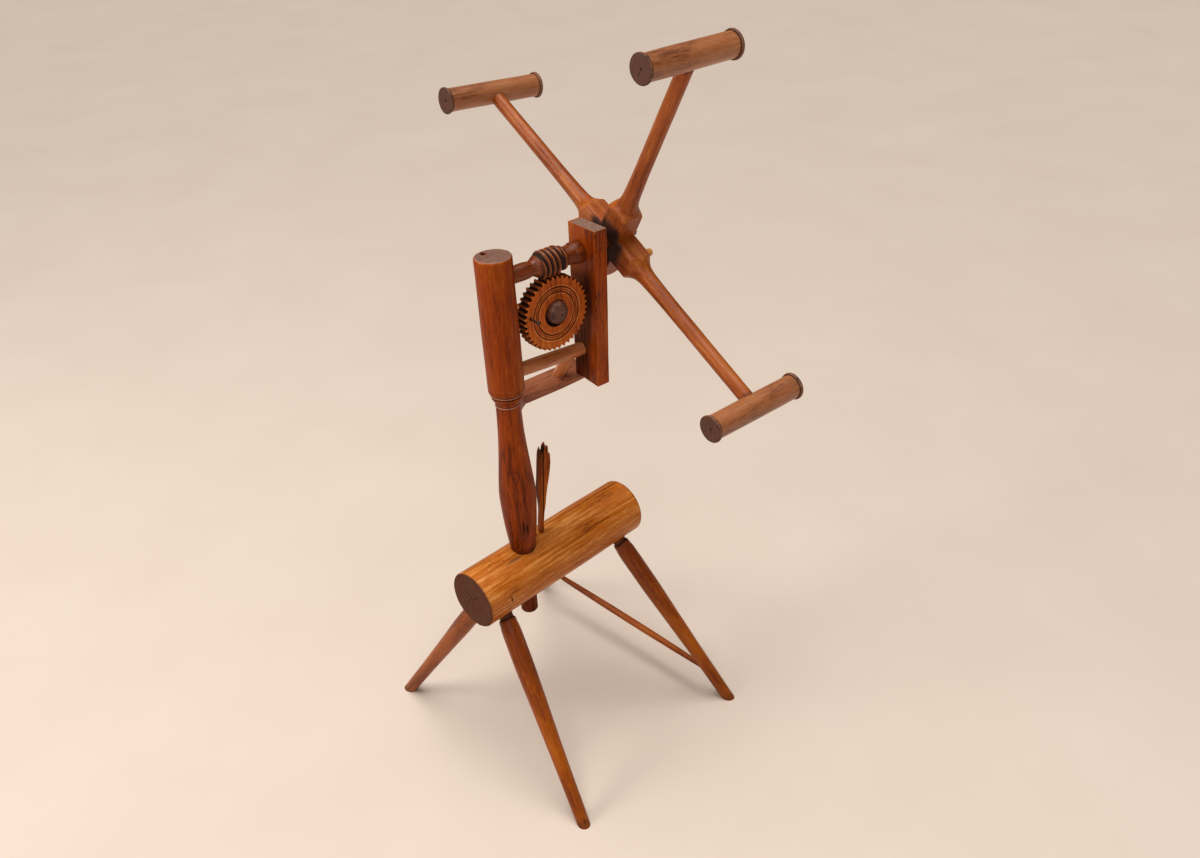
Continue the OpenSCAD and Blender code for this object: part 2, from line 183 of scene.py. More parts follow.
def step_up(value, low, high):
    """Smooth step from 0 at low to 1 at high, which may be the smaller of the two."""
    t = np.clip((np.asarray(value, float) - low) / (high - low), 0, 1)
    return t * t * (3 - 2 * t)


def patches(points, size, seed, low, high):
    """Noise as separate soft-edged patches, from 0 to 1."""
    return step_up(fuzz(points, size, seed), low, high)


def groove(distance, width):
    """Bell-shaped profile, 1 at its middle."""
    return np.exp(-((distance / width) ** 2))


def quads(rows, count, closed=False):
    """Faces between rings of vertices, and from the last ring to the first if the stack is closed."""
    i, j = np.meshgrid(np.arange(rows if closed else rows - 1), np.arange(count), indexing="ij")
    here, above, beside = i * count, (i + 1) % rows * count, (j + 1) % count
    return np.stack([here + j, here + beside, above + beside, above + j], -1).reshape(-1, 4).tolist()


def skin(rings, bottom=None, top=None):
    """Vertices and faces of a stack of rings, (rows, count, 3), closed at both ends."""
    rows, count = rings.shape[:2]
    bottom = rings[0].mean(0) if bottom is None else bottom
    top = rings[-1].mean(0) if top is None else top
    verts = np.vstack([rings.reshape(-1, 3), bottom, top])
    faces = quads(rows, count)
    last = rows * count
    for k in range(count):
        n = (k + 1) % count
        faces.append([n, k, last])
        faces.append([last - count + k, last - count + n, last + 1])
    return verts, faces


def lathe(outline, step=2.0, count=96, wobble=0.12, seed=0, relief=None):
    """Turned shape about +Z from (radius, height) points. relief(points, angle) is added outwards."""
    path = resampled([(0.0, outline[0][1])] + list(outline) + [(0.0, outline[-1][1])], step)
    slope = np.gradient(path, axis=0)
    slope /= np.linalg.norm(slope, axis=1)[:, None]
    r, z = path[1:-1, 0, None], path[1:-1, 1, None]
    nr, nz = slope[1:-1, 1, None], -slope[1:-1, 0, None]
    angle = np.linspace(0, 2 * math.pi, count, endpoint=False)[None, :]
    cosine, sine = np.cos(angle), np.sin(angle)
    points = np.stack([r * cosine, r * sine, z + 0 * angle], -1)
    out = wobble * (fuzz(points, (28, 28, 60), seed) + 0.5 * fuzz(points, (9, 9, 22), seed + 1)) - wobble
    if relief:
        out = out + relief(points, angle + 0 * r)
    radius = np.maximum(r + out * nr, 0.02)
    rings = np.stack([radius * cosine, radius * sine, z + out * nz], -1)
    return skin(rings, (0, 0, path[0, 1]), (0, 0, path[-1, 1]))


def plank(outline, low, high, bevel, step, lay, wobble, seed):
    """Flat piece from an outline, with eased edges and a fine grid for its unevenness.

    lay(a, b, t) gives the place of an outline point at a depth between low and high.
    """
    bm = bmesh.new()
    face = bm.faces.new([bm.verts.new(lay(a, b, low)) for a, b in outline])
    raised = bmesh.ops.extrude_face_region(bm, geom=[face])["geom"]
    offset = Vector(lay(0, 0, high)) - Vector(lay(0, 0, low))
    bmesh.ops.translate(bm, vec=offset, verts=[g for g in raised if isinstance(g, bmesh.types.BMVert)])
    bmesh.ops.recalc_face_normals(bm, faces=bm.faces[:])
    eased = {"segments": 3, "profile": 0.6, "affect": "EDGES", "clamp_overlap": True}
    bmesh.ops.bevel(bm, geom=bm.edges[:], offset=bevel, **eased)
    co = np.array([v.co for v in bm.verts])
    for axis in range(3):
        for cut in np.arange(co[:, axis].min() + bevel + 0.5, co[:, axis].max() - bevel, step):
            normal, spot = [0, 0, 0], [0, 0, 0]
            normal[axis], spot[axis] = 1, cut
            everything = bm.verts[:] + bm.edges[:] + bm.faces[:]
            bmesh.ops.bisect_plane(bm, geom=everything, plane_co=spot, plane_no=normal)
    bm.normal_update()
    co = np.array([v.co for v in bm.verts])
    normals = np.array([v.normal for v in bm.verts])
    out = wobble * (fuzz(co, (16, 16, 45), seed) + 0.6 * fuzz(co, (5, 5, 18), seed + 1) - 1.6)
    verts = co + normals * out[:, None]
    faces = [[v.index for v in f.verts] for f in bm.faces]
    bm.free()
    return verts, faces


def upright(a, b, t):
    """A plank's lay with its outline in X and Z."""
    return a, t, b


def lying(a, b, t):
    """A plank's lay for a frame turned -90 degrees about X."""
    return a, -t, b


def solid(name, shape, at):
    """Object from a shape's vertices, in millimetres, and faces."""
    verts, faces = shape
    mesh = bpy.data.meshes.new(name)
    mesh.from_pydata((np.asarray(verts) * MM).tolist(), [], faces)
    obj = bpy.data.objects.new(name, mesh)
    bpy.context.scene.collection.objects.link(obj)
    obj.matrix_world = at
    return obj


def rod_shape(r, low, high, count=64):
    degrees = np.arange(count) * 360 / count
    return skin(np.array([polar(r, degrees, z) for z in (low, high)]))


def box_shape(low, high):
    corners = ((low[0], low[1]), (high[0], low[1]), (high[0], high[1]), (low[0], high[1]))
    return skin(np.array([[(x, y, z) for x, y in corners] for z in (low[2], high[2])], float))


def cut(obj, cutters):
    """Takes each (shape, frame) out of obj."""
    for shape, at in cutters:
        tool = solid("cutter", shape, at)
        modifier = obj.modifiers.new("cut", "BOOLEAN")
        modifier.operation = "DIFFERENCE"
        modifier.solver = "MANIFOLD"
        modifier.object = tool
        bpy.context.view_layer.update()
        result = bpy.data.meshes.new_from_object(obj.evaluated_get(bpy.context.evaluated_depsgraph_get()))
        old, obj.data = obj.data, result
        obj.modifiers.clear()
        bpy.data.meshes.remove(old)
        bpy.data.objects.remove(tool)


def arrays(mesh):
    """A mesh's vertices in millimetres, its edges and its normals."""
    co = np.empty(len(mesh.vertices) * 3)
    mesh.vertices.foreach_get("co", co)
    ends = np.empty(len(mesh.edges) * 2, np.int32)
    mesh.edges.foreach_get("vertices", ends)
    normals = np.empty(len(mesh.vertices) * 3)
    mesh.vertex_normals.foreach_get("vector", normals)
    return co.reshape(-1, 3) / MM, ends.reshape(-1, 2), normals.reshape(-1, 3)


def store(mesh, name, values):
    attribute = mesh.attributes.new(name, "FLOAT", "POINT")
    attribute.data.foreach_set("value", np.asarray(values, np.float32))


def store_grain(mesh, axis):
    """Stores each vertex's place in the piece's own frame, and how far its surface looks along the grain."""
    co, _, normals = arrays(mesh)
    attribute = mesh.attributes.new("grain_at", "FLOAT_VECTOR", "POINT")
    order = {"Z": (0, 1, 2), "X": (1, 2, 0), "Y": (2, 0, 1)}[axis]
    attribute.data.foreach_set("vector", (co[:, order] * MM).astype(np.float32).ravel())
    store(mesh, "end_on", np.abs(normals[:, order[2]]))


def mark_curvature(mesh):
    """Stores how sharply each vertex bends outwards, or inwards below zero, in 1/mm, as 'bend'."""
    co, ends, normals = arrays(mesh)
    total, count = np.zeros(len(co)), np.zeros(len(co))
    gap = co[ends[:, 0]] - co[ends[:, 1]]
    length = np.maximum((gap**2).sum(1), 0.04)
    for side, sign in ((0, 1), (1, -1)):
        bend = sign * (normals[ends[:, side]] * gap).sum(1) * 2 / length
        np.add.at(total, ends[:, side], np.clip(bend, -2, 2))
        np.add.at(count, ends[:, side], 1)
    value = total / np.maximum(count, 1)
    for _ in range(2):
        spread, weight = value.copy(), np.ones(len(co))
        for a, b in ((0, 1), (1, 0)):
            np.add.at(spread, ends[:, a], value[ends[:, b]])
            np.add.at(weight, ends[:, a], 1)
        value = spread / weight
    store(mesh, "bend", value)


def make(name, shape, at, body, node, material, cutters=(), marks=None, sharp=38, grain="Z"):
    """Builds a piece, cuts it, marks its wear, stains and painted light and shade, and hands it to the frame.
    """
    obj = solid(name, shape, at)
    cut(obj, cutters)
    mark_curvature(obj.data)
    co = arrays(obj.data)[0]
    store(obj.data, "mark", marks(co) if marks else np.zeros(len(co)))
    store_grain(obj.data, grain)
    obj.data.transform(at)
    obj.matrix_world = Matrix.Identity(4)
    obj.data.shade_smooth()
    obj.data.set_sharp_from_angle(angle=math.radians(sharp))
    obj.data.materials.clear()
    obj.data.materials.append(material)
    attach(obj, body)
    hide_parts(node)
    return obj


# --- materials


def colour(text):
    """Linear colour of a hexadecimal sRGB one."""
    parts = [int(text[i : i + 2], 16) / 255 for i in (0, 2, 4)]
    return tuple(c / 12.92 if c <= 0.04045 else ((c + 0.055) / 1.055) ** 2.4 for c in parts) + (1,)


class Nodes:
    """Short calls that add shader nodes to one material and return their outputs."""

    def __init__(self, name):
        self.material = bpy.data.materials.new(name)
        self.material.use_nodes = True
        self.tree = self.material.node_tree
        self.shader = self.tree.nodes["Principled BSDF"]

    def add(self, kind, inputs=None, **settings):
        node = self.tree.nodes.new(kind)
        for key, value in settings.items():
            setattr(node, key, value)
        for key, value in (inputs or {}).items():
            self.put(node.inputs[key], value)
        return node

    def put(self, socket, value):
        """Links another node's output to a socket, or sets a number or a hexadecimal colour on it."""
        if isinstance(value, bpy.types.NodeSocket):
            self.tree.links.new(value, socket)
        else:
            socket.default_value = colour(value) if isinstance(value, str) else value

    def math(self, operation, a, b=0.0, c=0.0, clamp=False):
        node = self.add("ShaderNodeMath", {0: a, 1: b, 2: c}, operation=operation, use_clamp=clamp)
        return node.outputs[0]

    def times(self, a, b):
        return self.math("MULTIPLY", a, b)

    def blend_in(self, a, share, base, clamp=False):
        """base with a share of a added."""
        return self.math("MULTIPLY_ADD", a, share, base, clamp)

    def ramp(self, value, low, high, start=0.0, end=1.0):
        node = self.add(
            "ShaderNodeMapRange",
            {"Value": value, "From Min": low, "From Max": high, "To Min": start, "To Max": end},
            interpolation_type="SMOOTHSTEP",
        )
        return node.outputs["Result"]

    def mix(self, share, a, b, blend="MIX"):
        node = self.add("ShaderNodeMix", data_type="RGBA", blend_type=blend)
        for key, value in (("Factor_Float", share), ("A_Color", a), ("B_Color", b)):
            self.put(next(s for s in node.inputs if s.identifier == key), value)
        return next(s for s in node.outputs if s.identifier == "Result_Color")

    def noise(self, vector, scale, detail=4.0, rough=0.55, distortion=0.0):
        inputs = {"Vector": vector, "Scale": scale, "Detail": detail, "Roughness": rough}
        return self.add("ShaderNodeTexNoise", inputs | {"Distortion": distortion}).outputs["Fac"]

    def scaled(self, vector, x, y, z, shift=(0, 0, 0)):
        node = self.add("ShaderNodeMapping", {"Vector": vector, "Scale": (x, y, z), "Location": shift})
        return node.outputs[0]

    def attribute(self, name, output="Fac"):
        return self.add("ShaderNodeAttribute", attribute_name=name).outputs[output]

    def finished(self, tone, rough, height=None, strength=0.0, distance=0.0, shine=0.5, metal=0.0):
        """The material, with its colour, roughness, bumps and shader values set."""
        self.put(self.shader.inputs["Base Color"], tone)
        self.put(self.shader.inputs["Roughness"], rough)
        if height:
            bump = self.add("ShaderNodeBump", {"Height": height, "Strength": strength, "Distance": distance})
            self.put(self.shader.inputs["Normal"], bump.outputs[0])
        self.shader.inputs["Specular IOR Level"].default_value = shine
        self.shader.inputs["Metallic"].default_value = metal
        return self.material


def wood(name, dark, body, light, end, seed=0, gloss=0.36, streak=1.0, pores=0.5, scuffs=0.4, end_rings=1.0,
         worn_tone=None, crease_dirt_and_shade_amount=1.0, shine=0.3, pale=None):
    """Old varnished wood, in the coordinates that a piece keeps: its grain runs along their Z.

    The colours are its grain's three tones, its end grain, its worn edges and its pale marks, which on some
    pieces are painted highlights. gloss is about its roughness, shine its specular level, and the other
    numbers are amounts.
    """
    n = Nodes(name)
    point = n.attribute("grain_at", "Vector")
    shift = tuple(0.37 * seed + o for o in (0.11, 0.53, 0.29))

    def grain(stretch, scale, *settings):
        """Noise drawn out along the grain; scale is its cells in a metre."""
        return n.noise(n.scaled(point, 1, 1, stretch, shift), scale, *settings)

    broad = grain(0.35, 22, 4, 0.6)
    streaks = grain(0.05, 210, 5, 0.62, 0.35)
    fine = grain(0.09, 950, 4, 0.65)
    pore = n.ramp(grain(0.045, 2300, 2, 0.5), 0.60, 0.70)

    figure = n.blend_in(n.ramp(streaks, 0.3, 0.7), 0.5 * streak, n.times(n.ramp(fine, 0.25, 0.75), 0.34))
    figure = n.blend_in(n.ramp(broad, 0.3, 0.7), 0.46, figure)
    tone = n.mix(n.ramp(figure, 0.12, 0.62), dark, body)
    tone = n.mix(n.ramp(figure, 0.60, 1.25), tone, light)
    tone = n.mix(n.times(pore, pores), tone, dark, "MULTIPLY")

    # short scratches across and along, from thin contour lines of stretched noise
    lines = None
    for index, stretch in enumerate(((1, 1, 0.12), (0.16, 0.16, 1))):
        field = n.noise(n.scaled(point, *stretch, shift=(seed + 2 * index, index, 1)), 120, 1, 0.4)
        thin = n.ramp(n.math("ABSOLUTE", n.math("SUBTRACT", field, 0.5)), 0.0, 0.006, 1, 0)
        where = n.ramp(n.noise(n.scaled(point, 1, 1, 1, (index + seed, 3, 2)), 60, 2), 0.56, 0.66)
        line = n.times(thin, where)
        lines = line if lines is None else n.math("MAXIMUM", lines, line)
    tone = n.mix(n.times(lines, scuffs), tone, dark, "MULTIPLY")

    # end grain, where the surface looks along the grain
    across_end = n.ramp(n.attribute("end_on"), 0.72, 0.92)
    off_heart = n.scaled(point, 1, 1, 0, (0.006, -0.004, 0))
    rings = n.add(
        "ShaderNodeTexWave",
        {"Vector": off_heart, "Scale": 130, "Distortion": 2.2, "Detail": 3, "Detail Scale": 1.6},
        wave_type="RINGS",
        rings_direction="Z",
    ).outputs["Fac"]
    grime = grain(1, 160, 5, 0.65)
    end_tone = n.mix(n.times(rings, 0.35 * end_rings), end, dark)
    end_tone = n.mix(n.ramp(grime, 0.35, 0.75, 0, 0.45 * end_rings), end_tone, dark)
    tone = n.mix(across_end, tone, end_tone)

    # worn edges, but not round the ends, and grime with painted shade in the corners
    bend = n.attribute("bend")
    worn = n.times(n.ramp(bend, 0.16, 0.62), n.ramp(grain(0.6, 260, 3, 0.6), 0.36, 0.62))
    worn = n.times(worn, n.blend_in(across_end, -0.85, 1.0))
    tone = n.mix(n.times(worn, 0.75), tone, worn_tone or light)
    # inward bends darkened towards 1c0a03: grime, and painted shade where a corner would lie in shadow
    crease_dirt_and_shade = n.times(n.ramp(bend, -0.02, -0.28), crease_dirt_and_shade_amount)
    tone = n.mix(crease_dirt_and_shade, tone, "1c0a03")

    # marks made with the mesh: above zero pale wood and, on some pieces, painted highlights; below it dark
    # stain and, on some pieces, painted shade
    mark = n.attribute("mark")
    tone = n.mix(n.ramp(mark, 0.02, 1.0), tone, pale or light)
    tone = n.mix(n.ramp(mark, -0.02, -1.0), tone, "240c03")

    height = n.blend_in(fine, 0.5, n.times(streaks, 0.35))
    height = n.blend_in(pore, -0.5, height)
    height = n.blend_in(lines, -0.7, height)
    rough = n.blend_in(grain(0.3, 90, 4, 0.6), 0.34, gloss - 0.14)
    rough = n.blend_in(across_end, 0.22, rough)
    rough = n.blend_in(crease_dirt_and_shade, 0.3, rough)
    rough = n.blend_in(n.ramp(mark, -0.1, -0.9), 0.35, rough, clamp=True)
    return n.finished(tone, rough, height, strength=0.35, distance=0.0005, shine=shine)


def iron(name):
    n = Nodes(name)
    rust = n.noise(n.attribute("grain_at", "Vector"), 900, 5, 0.65)
    tone = n.mix(n.ramp(rust, 0.4, 0.62), "4a4340", "3a1d10")
    tone = n.mix(n.times(n.ramp(n.attribute("bend"), 0.4, 1.0), 0.8), tone, "b9b2aa")
    rough = n.ramp(rust, 0.3, 0.7, 0.35, 0.7)
    return n.finished(tone, rough, rust, strength=0.4, distance=0.0002, metal=0.75)


LOG_WOOD = wood("log_wood", "562004", "ae5c10", "d48e48", "4a2814", seed=1, gloss=0.40, streak=1.2,
                scuffs=0.9, end_rings=1.5, worn_tone="b87038", shine=0.2)
# the post's pale tone is the colour of its painted highlights on the beads and the top's edge
POST_WOOD = wood("post_wood", "441200", "8a3500", "b2640c", "806052", seed=2, gloss=0.42, streak=0.7,
                 worn_tone="9c5a36", shine=0.12, pale="c49080")
LEG_WOOD = wood("leg_wood", "662602", "984a06", "be7420", "4a2614", seed=3, streak=0.35, pores=0.3,
                shine=0.22)
SLAT_WOOD = wood("slat_wood", "561a02", "984608", "bc701e", "4a2614", seed=13, gloss=0.50, shine=0.1)
BOARD_WOOD = wood("board_wood", "461200", "923a00", "b86612", "8a6e60", seed=4, gloss=0.42, streak=0.7,
                  shine=0.14)
ROD_WOOD = wood("rod_wood", "64280a", "ac6234", "ca8c5e", "5c3420", seed=5, gloss=0.30, shine=0.5)
SHELF_WOOD = wood("shelf_wood", "5a2812", "8c4c2e", "a66a4c", "6a3c28", seed=6, gloss=0.38)
WHEEL_WOOD = wood("wheel_wood", "742600", "b05214", "ca7426", "702c08", seed=7, gloss=0.52, scuffs=0.7,
                  crease_dirt_and_shade_amount=0.15, worn_tone="d08a48", shine=0.15, pale="d8a468")
AXLE_WOOD = wood("axle_wood", "381204", "6e2e0a", "985426", "3a1a10", seed=8, gloss=0.32, worn_tone="a86e48",
                 shine=0.28)
PIN_WOOD = wood("pin_wood", "341208", "5e3020", "8c624c", "6e4230", seed=9, gloss=0.38, shine=0.4)
REEL_WOOD = wood("reel_wood", "521a06", "8c400c", "b06228", "5a2c18", seed=10, worn_tone="c08a5c", shine=0.26)
BAR_WOOD = wood("bar_wood", "5e2c14", "9e6038", "bc8860", "462014", seed=11, gloss=0.33, streak=0.5,
                worn_tone="a8704c", shine=0.5)
PEG_WOOD = wood("peg_wood", "8c4a16", "bc7a30", "d49a50", "a06428", seed=12, gloss=0.45)
IRON = iron("iron")

# --- stand


# each crack's direction in degrees, where it starts and ends along the radius, depth and width
LOG_CRACKS = ((222, 0, 38, 2.4, 0.8), (318, 4, 20, 0.35, 0.6), (96, 3, 18, 0.3, 0.6), (20, 20, 40, 0.3, 0.5))


def log_cracks(r, angle):
    """Depth of the drying cracks in the log's ends."""
    cracks = 0
    for a, near, far, depth, width in LOG_CRACKS:
        bent = a + 5 * np.sin(r / 6 + a)
        off = r * np.sin(angle - np.radians(bent))
        ahead = np.cos(angle - np.radians(bent)) > 0
        reach = step_up(r, near - 3, near + 2) * step_up(r, far + 3, far - 3)
        cracks = cracks + depth * groove(off, width) * reach * ahead
    return cracks


def log_relief(points, angle):
    """Drying cracks in both ends and hollows left by the drawknife."""
    x, y, z = np.moveaxis(points, -1, 0)
    r = np.hypot(x, y)
    at_end = np.maximum(step_up(z, 1.5, 0.2), step_up(z, LOG_LEN - 1.5, LOG_LEN - 0.2))
    cracks = log_cracks(r, angle)
    uneven = 0.25 * fuzz(points, 9, 5) + 0.5 * fuzz(points, 24, 6)
    side = 0.45 * (fuzz(points, (30, 30, 70), 3) - 1) + 0.12 * fuzz(points, (6, 6, 30), 4)
    return at_end * (-cracks + 0.6 * (uneven - 0.6)) + (1 - at_end) * side


def log_marks(co):
    """Dark streaks along the top, nicks near the post, dark rims and dark cracks."""
    x, y, z = co.T
    angle = np.degrees(np.arctan2(-y, x))
    streak = patches(co, (5, 5, 36), 11, 0.15, 0.7) * step_up(z, 20, 34) * step_up(z, 150, 120)
    streak = streak * step_up(np.abs(angle - 78), 26, 8)
    far = patches(co, (4, 4, 60), 12, 0.3, 0.8) * step_up(np.abs(angle - 60), 50, 20)
    far = far * step_up(z, 150, 190)
    nicks = patches(co, (9, 9, 1.5), 13, 0.45, 0.7) * patches(co, 26, 14, 0.1, 0.4)
    nicks = nicks * step_up(z, 120, 70)
    r, near = np.hypot(x, y), np.minimum(z, LOG_LEN - z)
    rim = step_up(r, LOG_R - 3.2, LOG_R - 1.6) * step_up(near, 3.5, 1.0)
    cracks = log_cracks(r, np.arctan2(y, x)) * (near < 4)
    return -np.clip(0.6 * streak + 0.35 * far + 0.75 * nicks + 0.55 * rim + 2.5 * cracks, 0, 0.95)


def leg_ends(leg):
    """A leg's root on the log's axis and its foot, in the stand's frame."""
    x, y, root = FEET[leg]
    return (0, root, LOG_Z), (x, y, 0)


def build_stand():
    log_frame = STAND @ place(0, -LOG_FRONT, LOG_Z, ("X", -90))
    socket = rod_shape(LEG_TENON_R + 0.9, LEG_SOCKET, LOG_R + 12)
    sockets = [(socket, STAND @ aim(*leg_ends(leg))) for leg in FEET]
    sockets.append((rod_shape(18.4, POST_FOOT_Z, POST_FOOT_Z + 60), HEAD))
    edge = 2.5
    outline = arc(LOG_R - edge, edge, edge, -90, 0) + arc(LOG_R - edge, LOG_LEN - edge, edge, 0, 90)
    shape = lathe(outline, 1.6, 220, 0.1, 1, log_relief)
    make("turned_log", shape, log_frame, "frame", "base_log", LOG_WOOD, sockets, log_marks)

    floor_box = (box_shape((-900, -900, -200), (900, 900, 0)), Matrix.Identity(4))
    for index, leg in enumerate(FEET):
        top, foot = leg_ends(leg)
        length = math.dist(top, foot)
        outline = [(9.5, LEG_SOCKET), (LEG_TENON_R, LEG_SOCKET + 1), (LEG_TENON_R - 0.1, 48.5)]
        outline += smooth([(10.9, 49.6), (12.1, 50.6), (12.9, 53), (13.1, 58), (14.2, 68), (14.4, 95),
                           (14.2, 135), (12.6, 200), (11, 270), (9.9, 345), (9.2, length + 15)])

        def marks(co, length=length, index=index):
            z = co[:, 2]
            scuffed = patches(co, (5, 5, 14), 20 + index, 0.35, 0.8)
            scuffed = scuffed * step_up(z, length - 75, length - 10)
            stain = patches(co, (4, 4, 50), 30 + index, 0.35, 0.9)
            collar, foot_dirt = step_up(z, 56, 47), step_up(z, length - 14, length - 2)
            return -np.clip(0.55 * collar + 0.45 * scuffed + 0.15 * stain + 0.45 * foot_dirt, 0, 0.92)

        make(f"leg_{leg}_turned", lathe(outline, 2.2, 80, 0.22, 40 + index), STAND @ aim(top, foot), "frame",
             f"leg_{leg}", LEG_WOOD, [floor_box], marks)

    def on_leg(leg, z):
        """Point on a leg's axis at a height."""
        top, foot = (np.array(p, float) for p in leg_ends(leg))
        return top + (foot - top) * (LOG_Z - z) / LOG_Z

    a, b = on_leg("back_left", 64), on_leg("back_right", 47)
    length = float(np.linalg.norm(b - a)) - 8
    outline = [(4.3, 0)] + smooth([(4.4, 15), (5.3, 0.2 * length), (6, 0.5 * length), (5.3, 0.8 * length),
                                   (4.4, length - 15)]) + [(4.3, length)]
    make("stretcher_turned", lathe(outline, 3, 48, 0.25, 50), STAND @ aim(a, b) @ place(0, 0, 4), "frame",
         "back_stretcher", LEG_WOOD)


# --- post, board and shelf


# two gouges low on the post: direction in degrees, height, length and depth
GOUGES = ((-24, 402, 15, 1.1), (-10, 396, 11, 0.9))
TOP_HOLE = (-13, -5)


def from_split(x, y):
    """Distance from the crack that runs through the hole in the post's top."""
    return (x - TOP_HOLE[0]) * 0.35 + (y - TOP_HOLE[1]) * 0.94


def post_relief(points, angle):
    """Crack and rings in the top, gouges and a worn side."""
    x, y, z = np.moveaxis(points, -1, 0)
    r = np.hypot(x, y)
    top = step_up(z, POST_TOP - 1.2, POST_TOP - 0.1)
    split = 1.6 * groove(from_split(x, y), 0.55) * step_up(x, -8, -14) * step_up(r, 25, 20)
    rings = 0.12 * np.sin(r * 1.9) + 0.5 * (fuzz(points, 11, 60) - 0.7)
    gouge = 0
    for where, height, length, depth in GOUGES:
        side = np.radians(where)
        off = r * np.sin(angle - side)
        gouge = gouge + depth * groove(off, 1.1) * groove(z - height, length) * (np.cos(angle - side) > 0)
    side_wear = 0.3 * (fuzz(points, (20, 20, 70), 61) - 1)
    return top * (rings - split) + (1 - top) * (side_wear - gouge)


# rings of painted shade (dark) and, below zero, painted highlights (pale) round the post's beads and the foot
# of its head: height, width and amount
POST_SHADE_AND_HIGHLIGHT_RINGS = ((611.6, 0.9, 0.9), (606.9, 0.9, 0.7), (601.2, 1.8, 0.6), (594.6, 0.9, 0.5), (610.4, 0.6, -0.9),
              (593.1, 0.6, -0.9), (617.5, 3, 0.35))


def post_marks(co):
    x, y, z = co.T
    r = np.hypot(x, y)
    angle = np.degrees(np.arctan2(y, x))
    streak = patches(co, (2.6, 2.6, 60), 62, 0.3, 0.9) * 0.3
    gouges = 0
    for where, height, length, _ in GOUGES:
        gouges = gouges + groove((angle - where) * 0.42, 1.5) * groove(z - height, length)
    crack = groove(from_split(x, y), 0.9) * step_up(x, -7, -13) * (z > POST_TOP - 3)
    low = 0.5 * step_up(z, 372, 352)
    # pale line on the top's rounded edge: a painted highlight
    painted_rings = -0.4 * groove(r - 23.0, 0.8) * (z > POST_TOP - 4)
    for height, width, amount in POST_SHADE_AND_HIGHLIGHT_RINGS:
        painted_rings = painted_rings + amount * groove(z - height, width)
    return -np.clip(streak + gouges + crack + low + painted_rings, -0.8, 0.95)


def build_post():
    edge = 4
    outline = [(11.6, 235), (13, 237), (13, POST_FOOT_Z - 0.5)]
    outline += smooth([(17.3, POST_FOOT_Z), (17.9, POST_FOOT_Z + 1.4), (19.9, 362), (22.8, 386), (24.8, 410),
                       (26.6, 444), (25, 470), (21.6, 506), (18.9, 542), (18, 564), (17.4, 584),
                       (17.2, 589.8)])
    outline += arc(15.9, 592, 2.1, -40, 40)
    outline += smooth([(17.2, 594.2), (17.6, 596), (18.6, 598.6), (20, 601)])
    outline += arc(20, 604.6, 1.8, -45, 45) + [(20.5, 607)] + arc(21.3, 609.6, 1.8, -50, 45)
    outline += [(21.6, 611.4), (23.6, 612.4), (24.7, 613.4), (POST_R - 0.1, 615)]
    outline += arc(POST_R - edge, POST_TOP - edge, edge, 0, 90)
    hole = (rod_shape(4, POST_TOP - 25, POST_TOP + 5, 32), HEAD @ place(*TOP_HOLE))
    socket = (rod_shape(11.9, 0, 60), ON_AXLE @ place(0, 0, -12))
    make("turned_post", lathe(outline, 1.1, 144, 0.1, 63, post_relief), HEAD, "frame", "main_post",
         POST_WOOD, [hole, socket], post_marks)


# outline of the slat's broken top, across and up
TORN = ((-9, 128), (-8, 158), (-7.5, 181), (-6.2, 160), (-5, 158), (-4, 174), (-2.6, 166), (-1.2, 178),
        (0, 184), (1.4, 170), (2.5, 166), (4, 179), (5.4, 168), (7, 161), (8.4, 164), (9.5, 146))


def slat_marks(co):
    """A split, a shadowed edge and a dark broken top."""
    x, _, z = co.T
    split = 1.2 * groove(x + 1.0 + 0.02 * (z - 120), 1.0) * step_up(z, 30, 80)
    shadowed = 0.35 * step_up(x, -1.5, -4.5) * step_up(z, 40, 80)
    burnt = 0.6 * step_up(z, 152, 178) * (0.6 + 0.4 * fuzz(co, (1.5, 3, 14), 71))
    inner = patches(co, (1.6, 3, 40), 72, 0.3, 0.9) * 0.25
    return -np.clip(split + shadowed + burnt + inner, 0, 0.95)


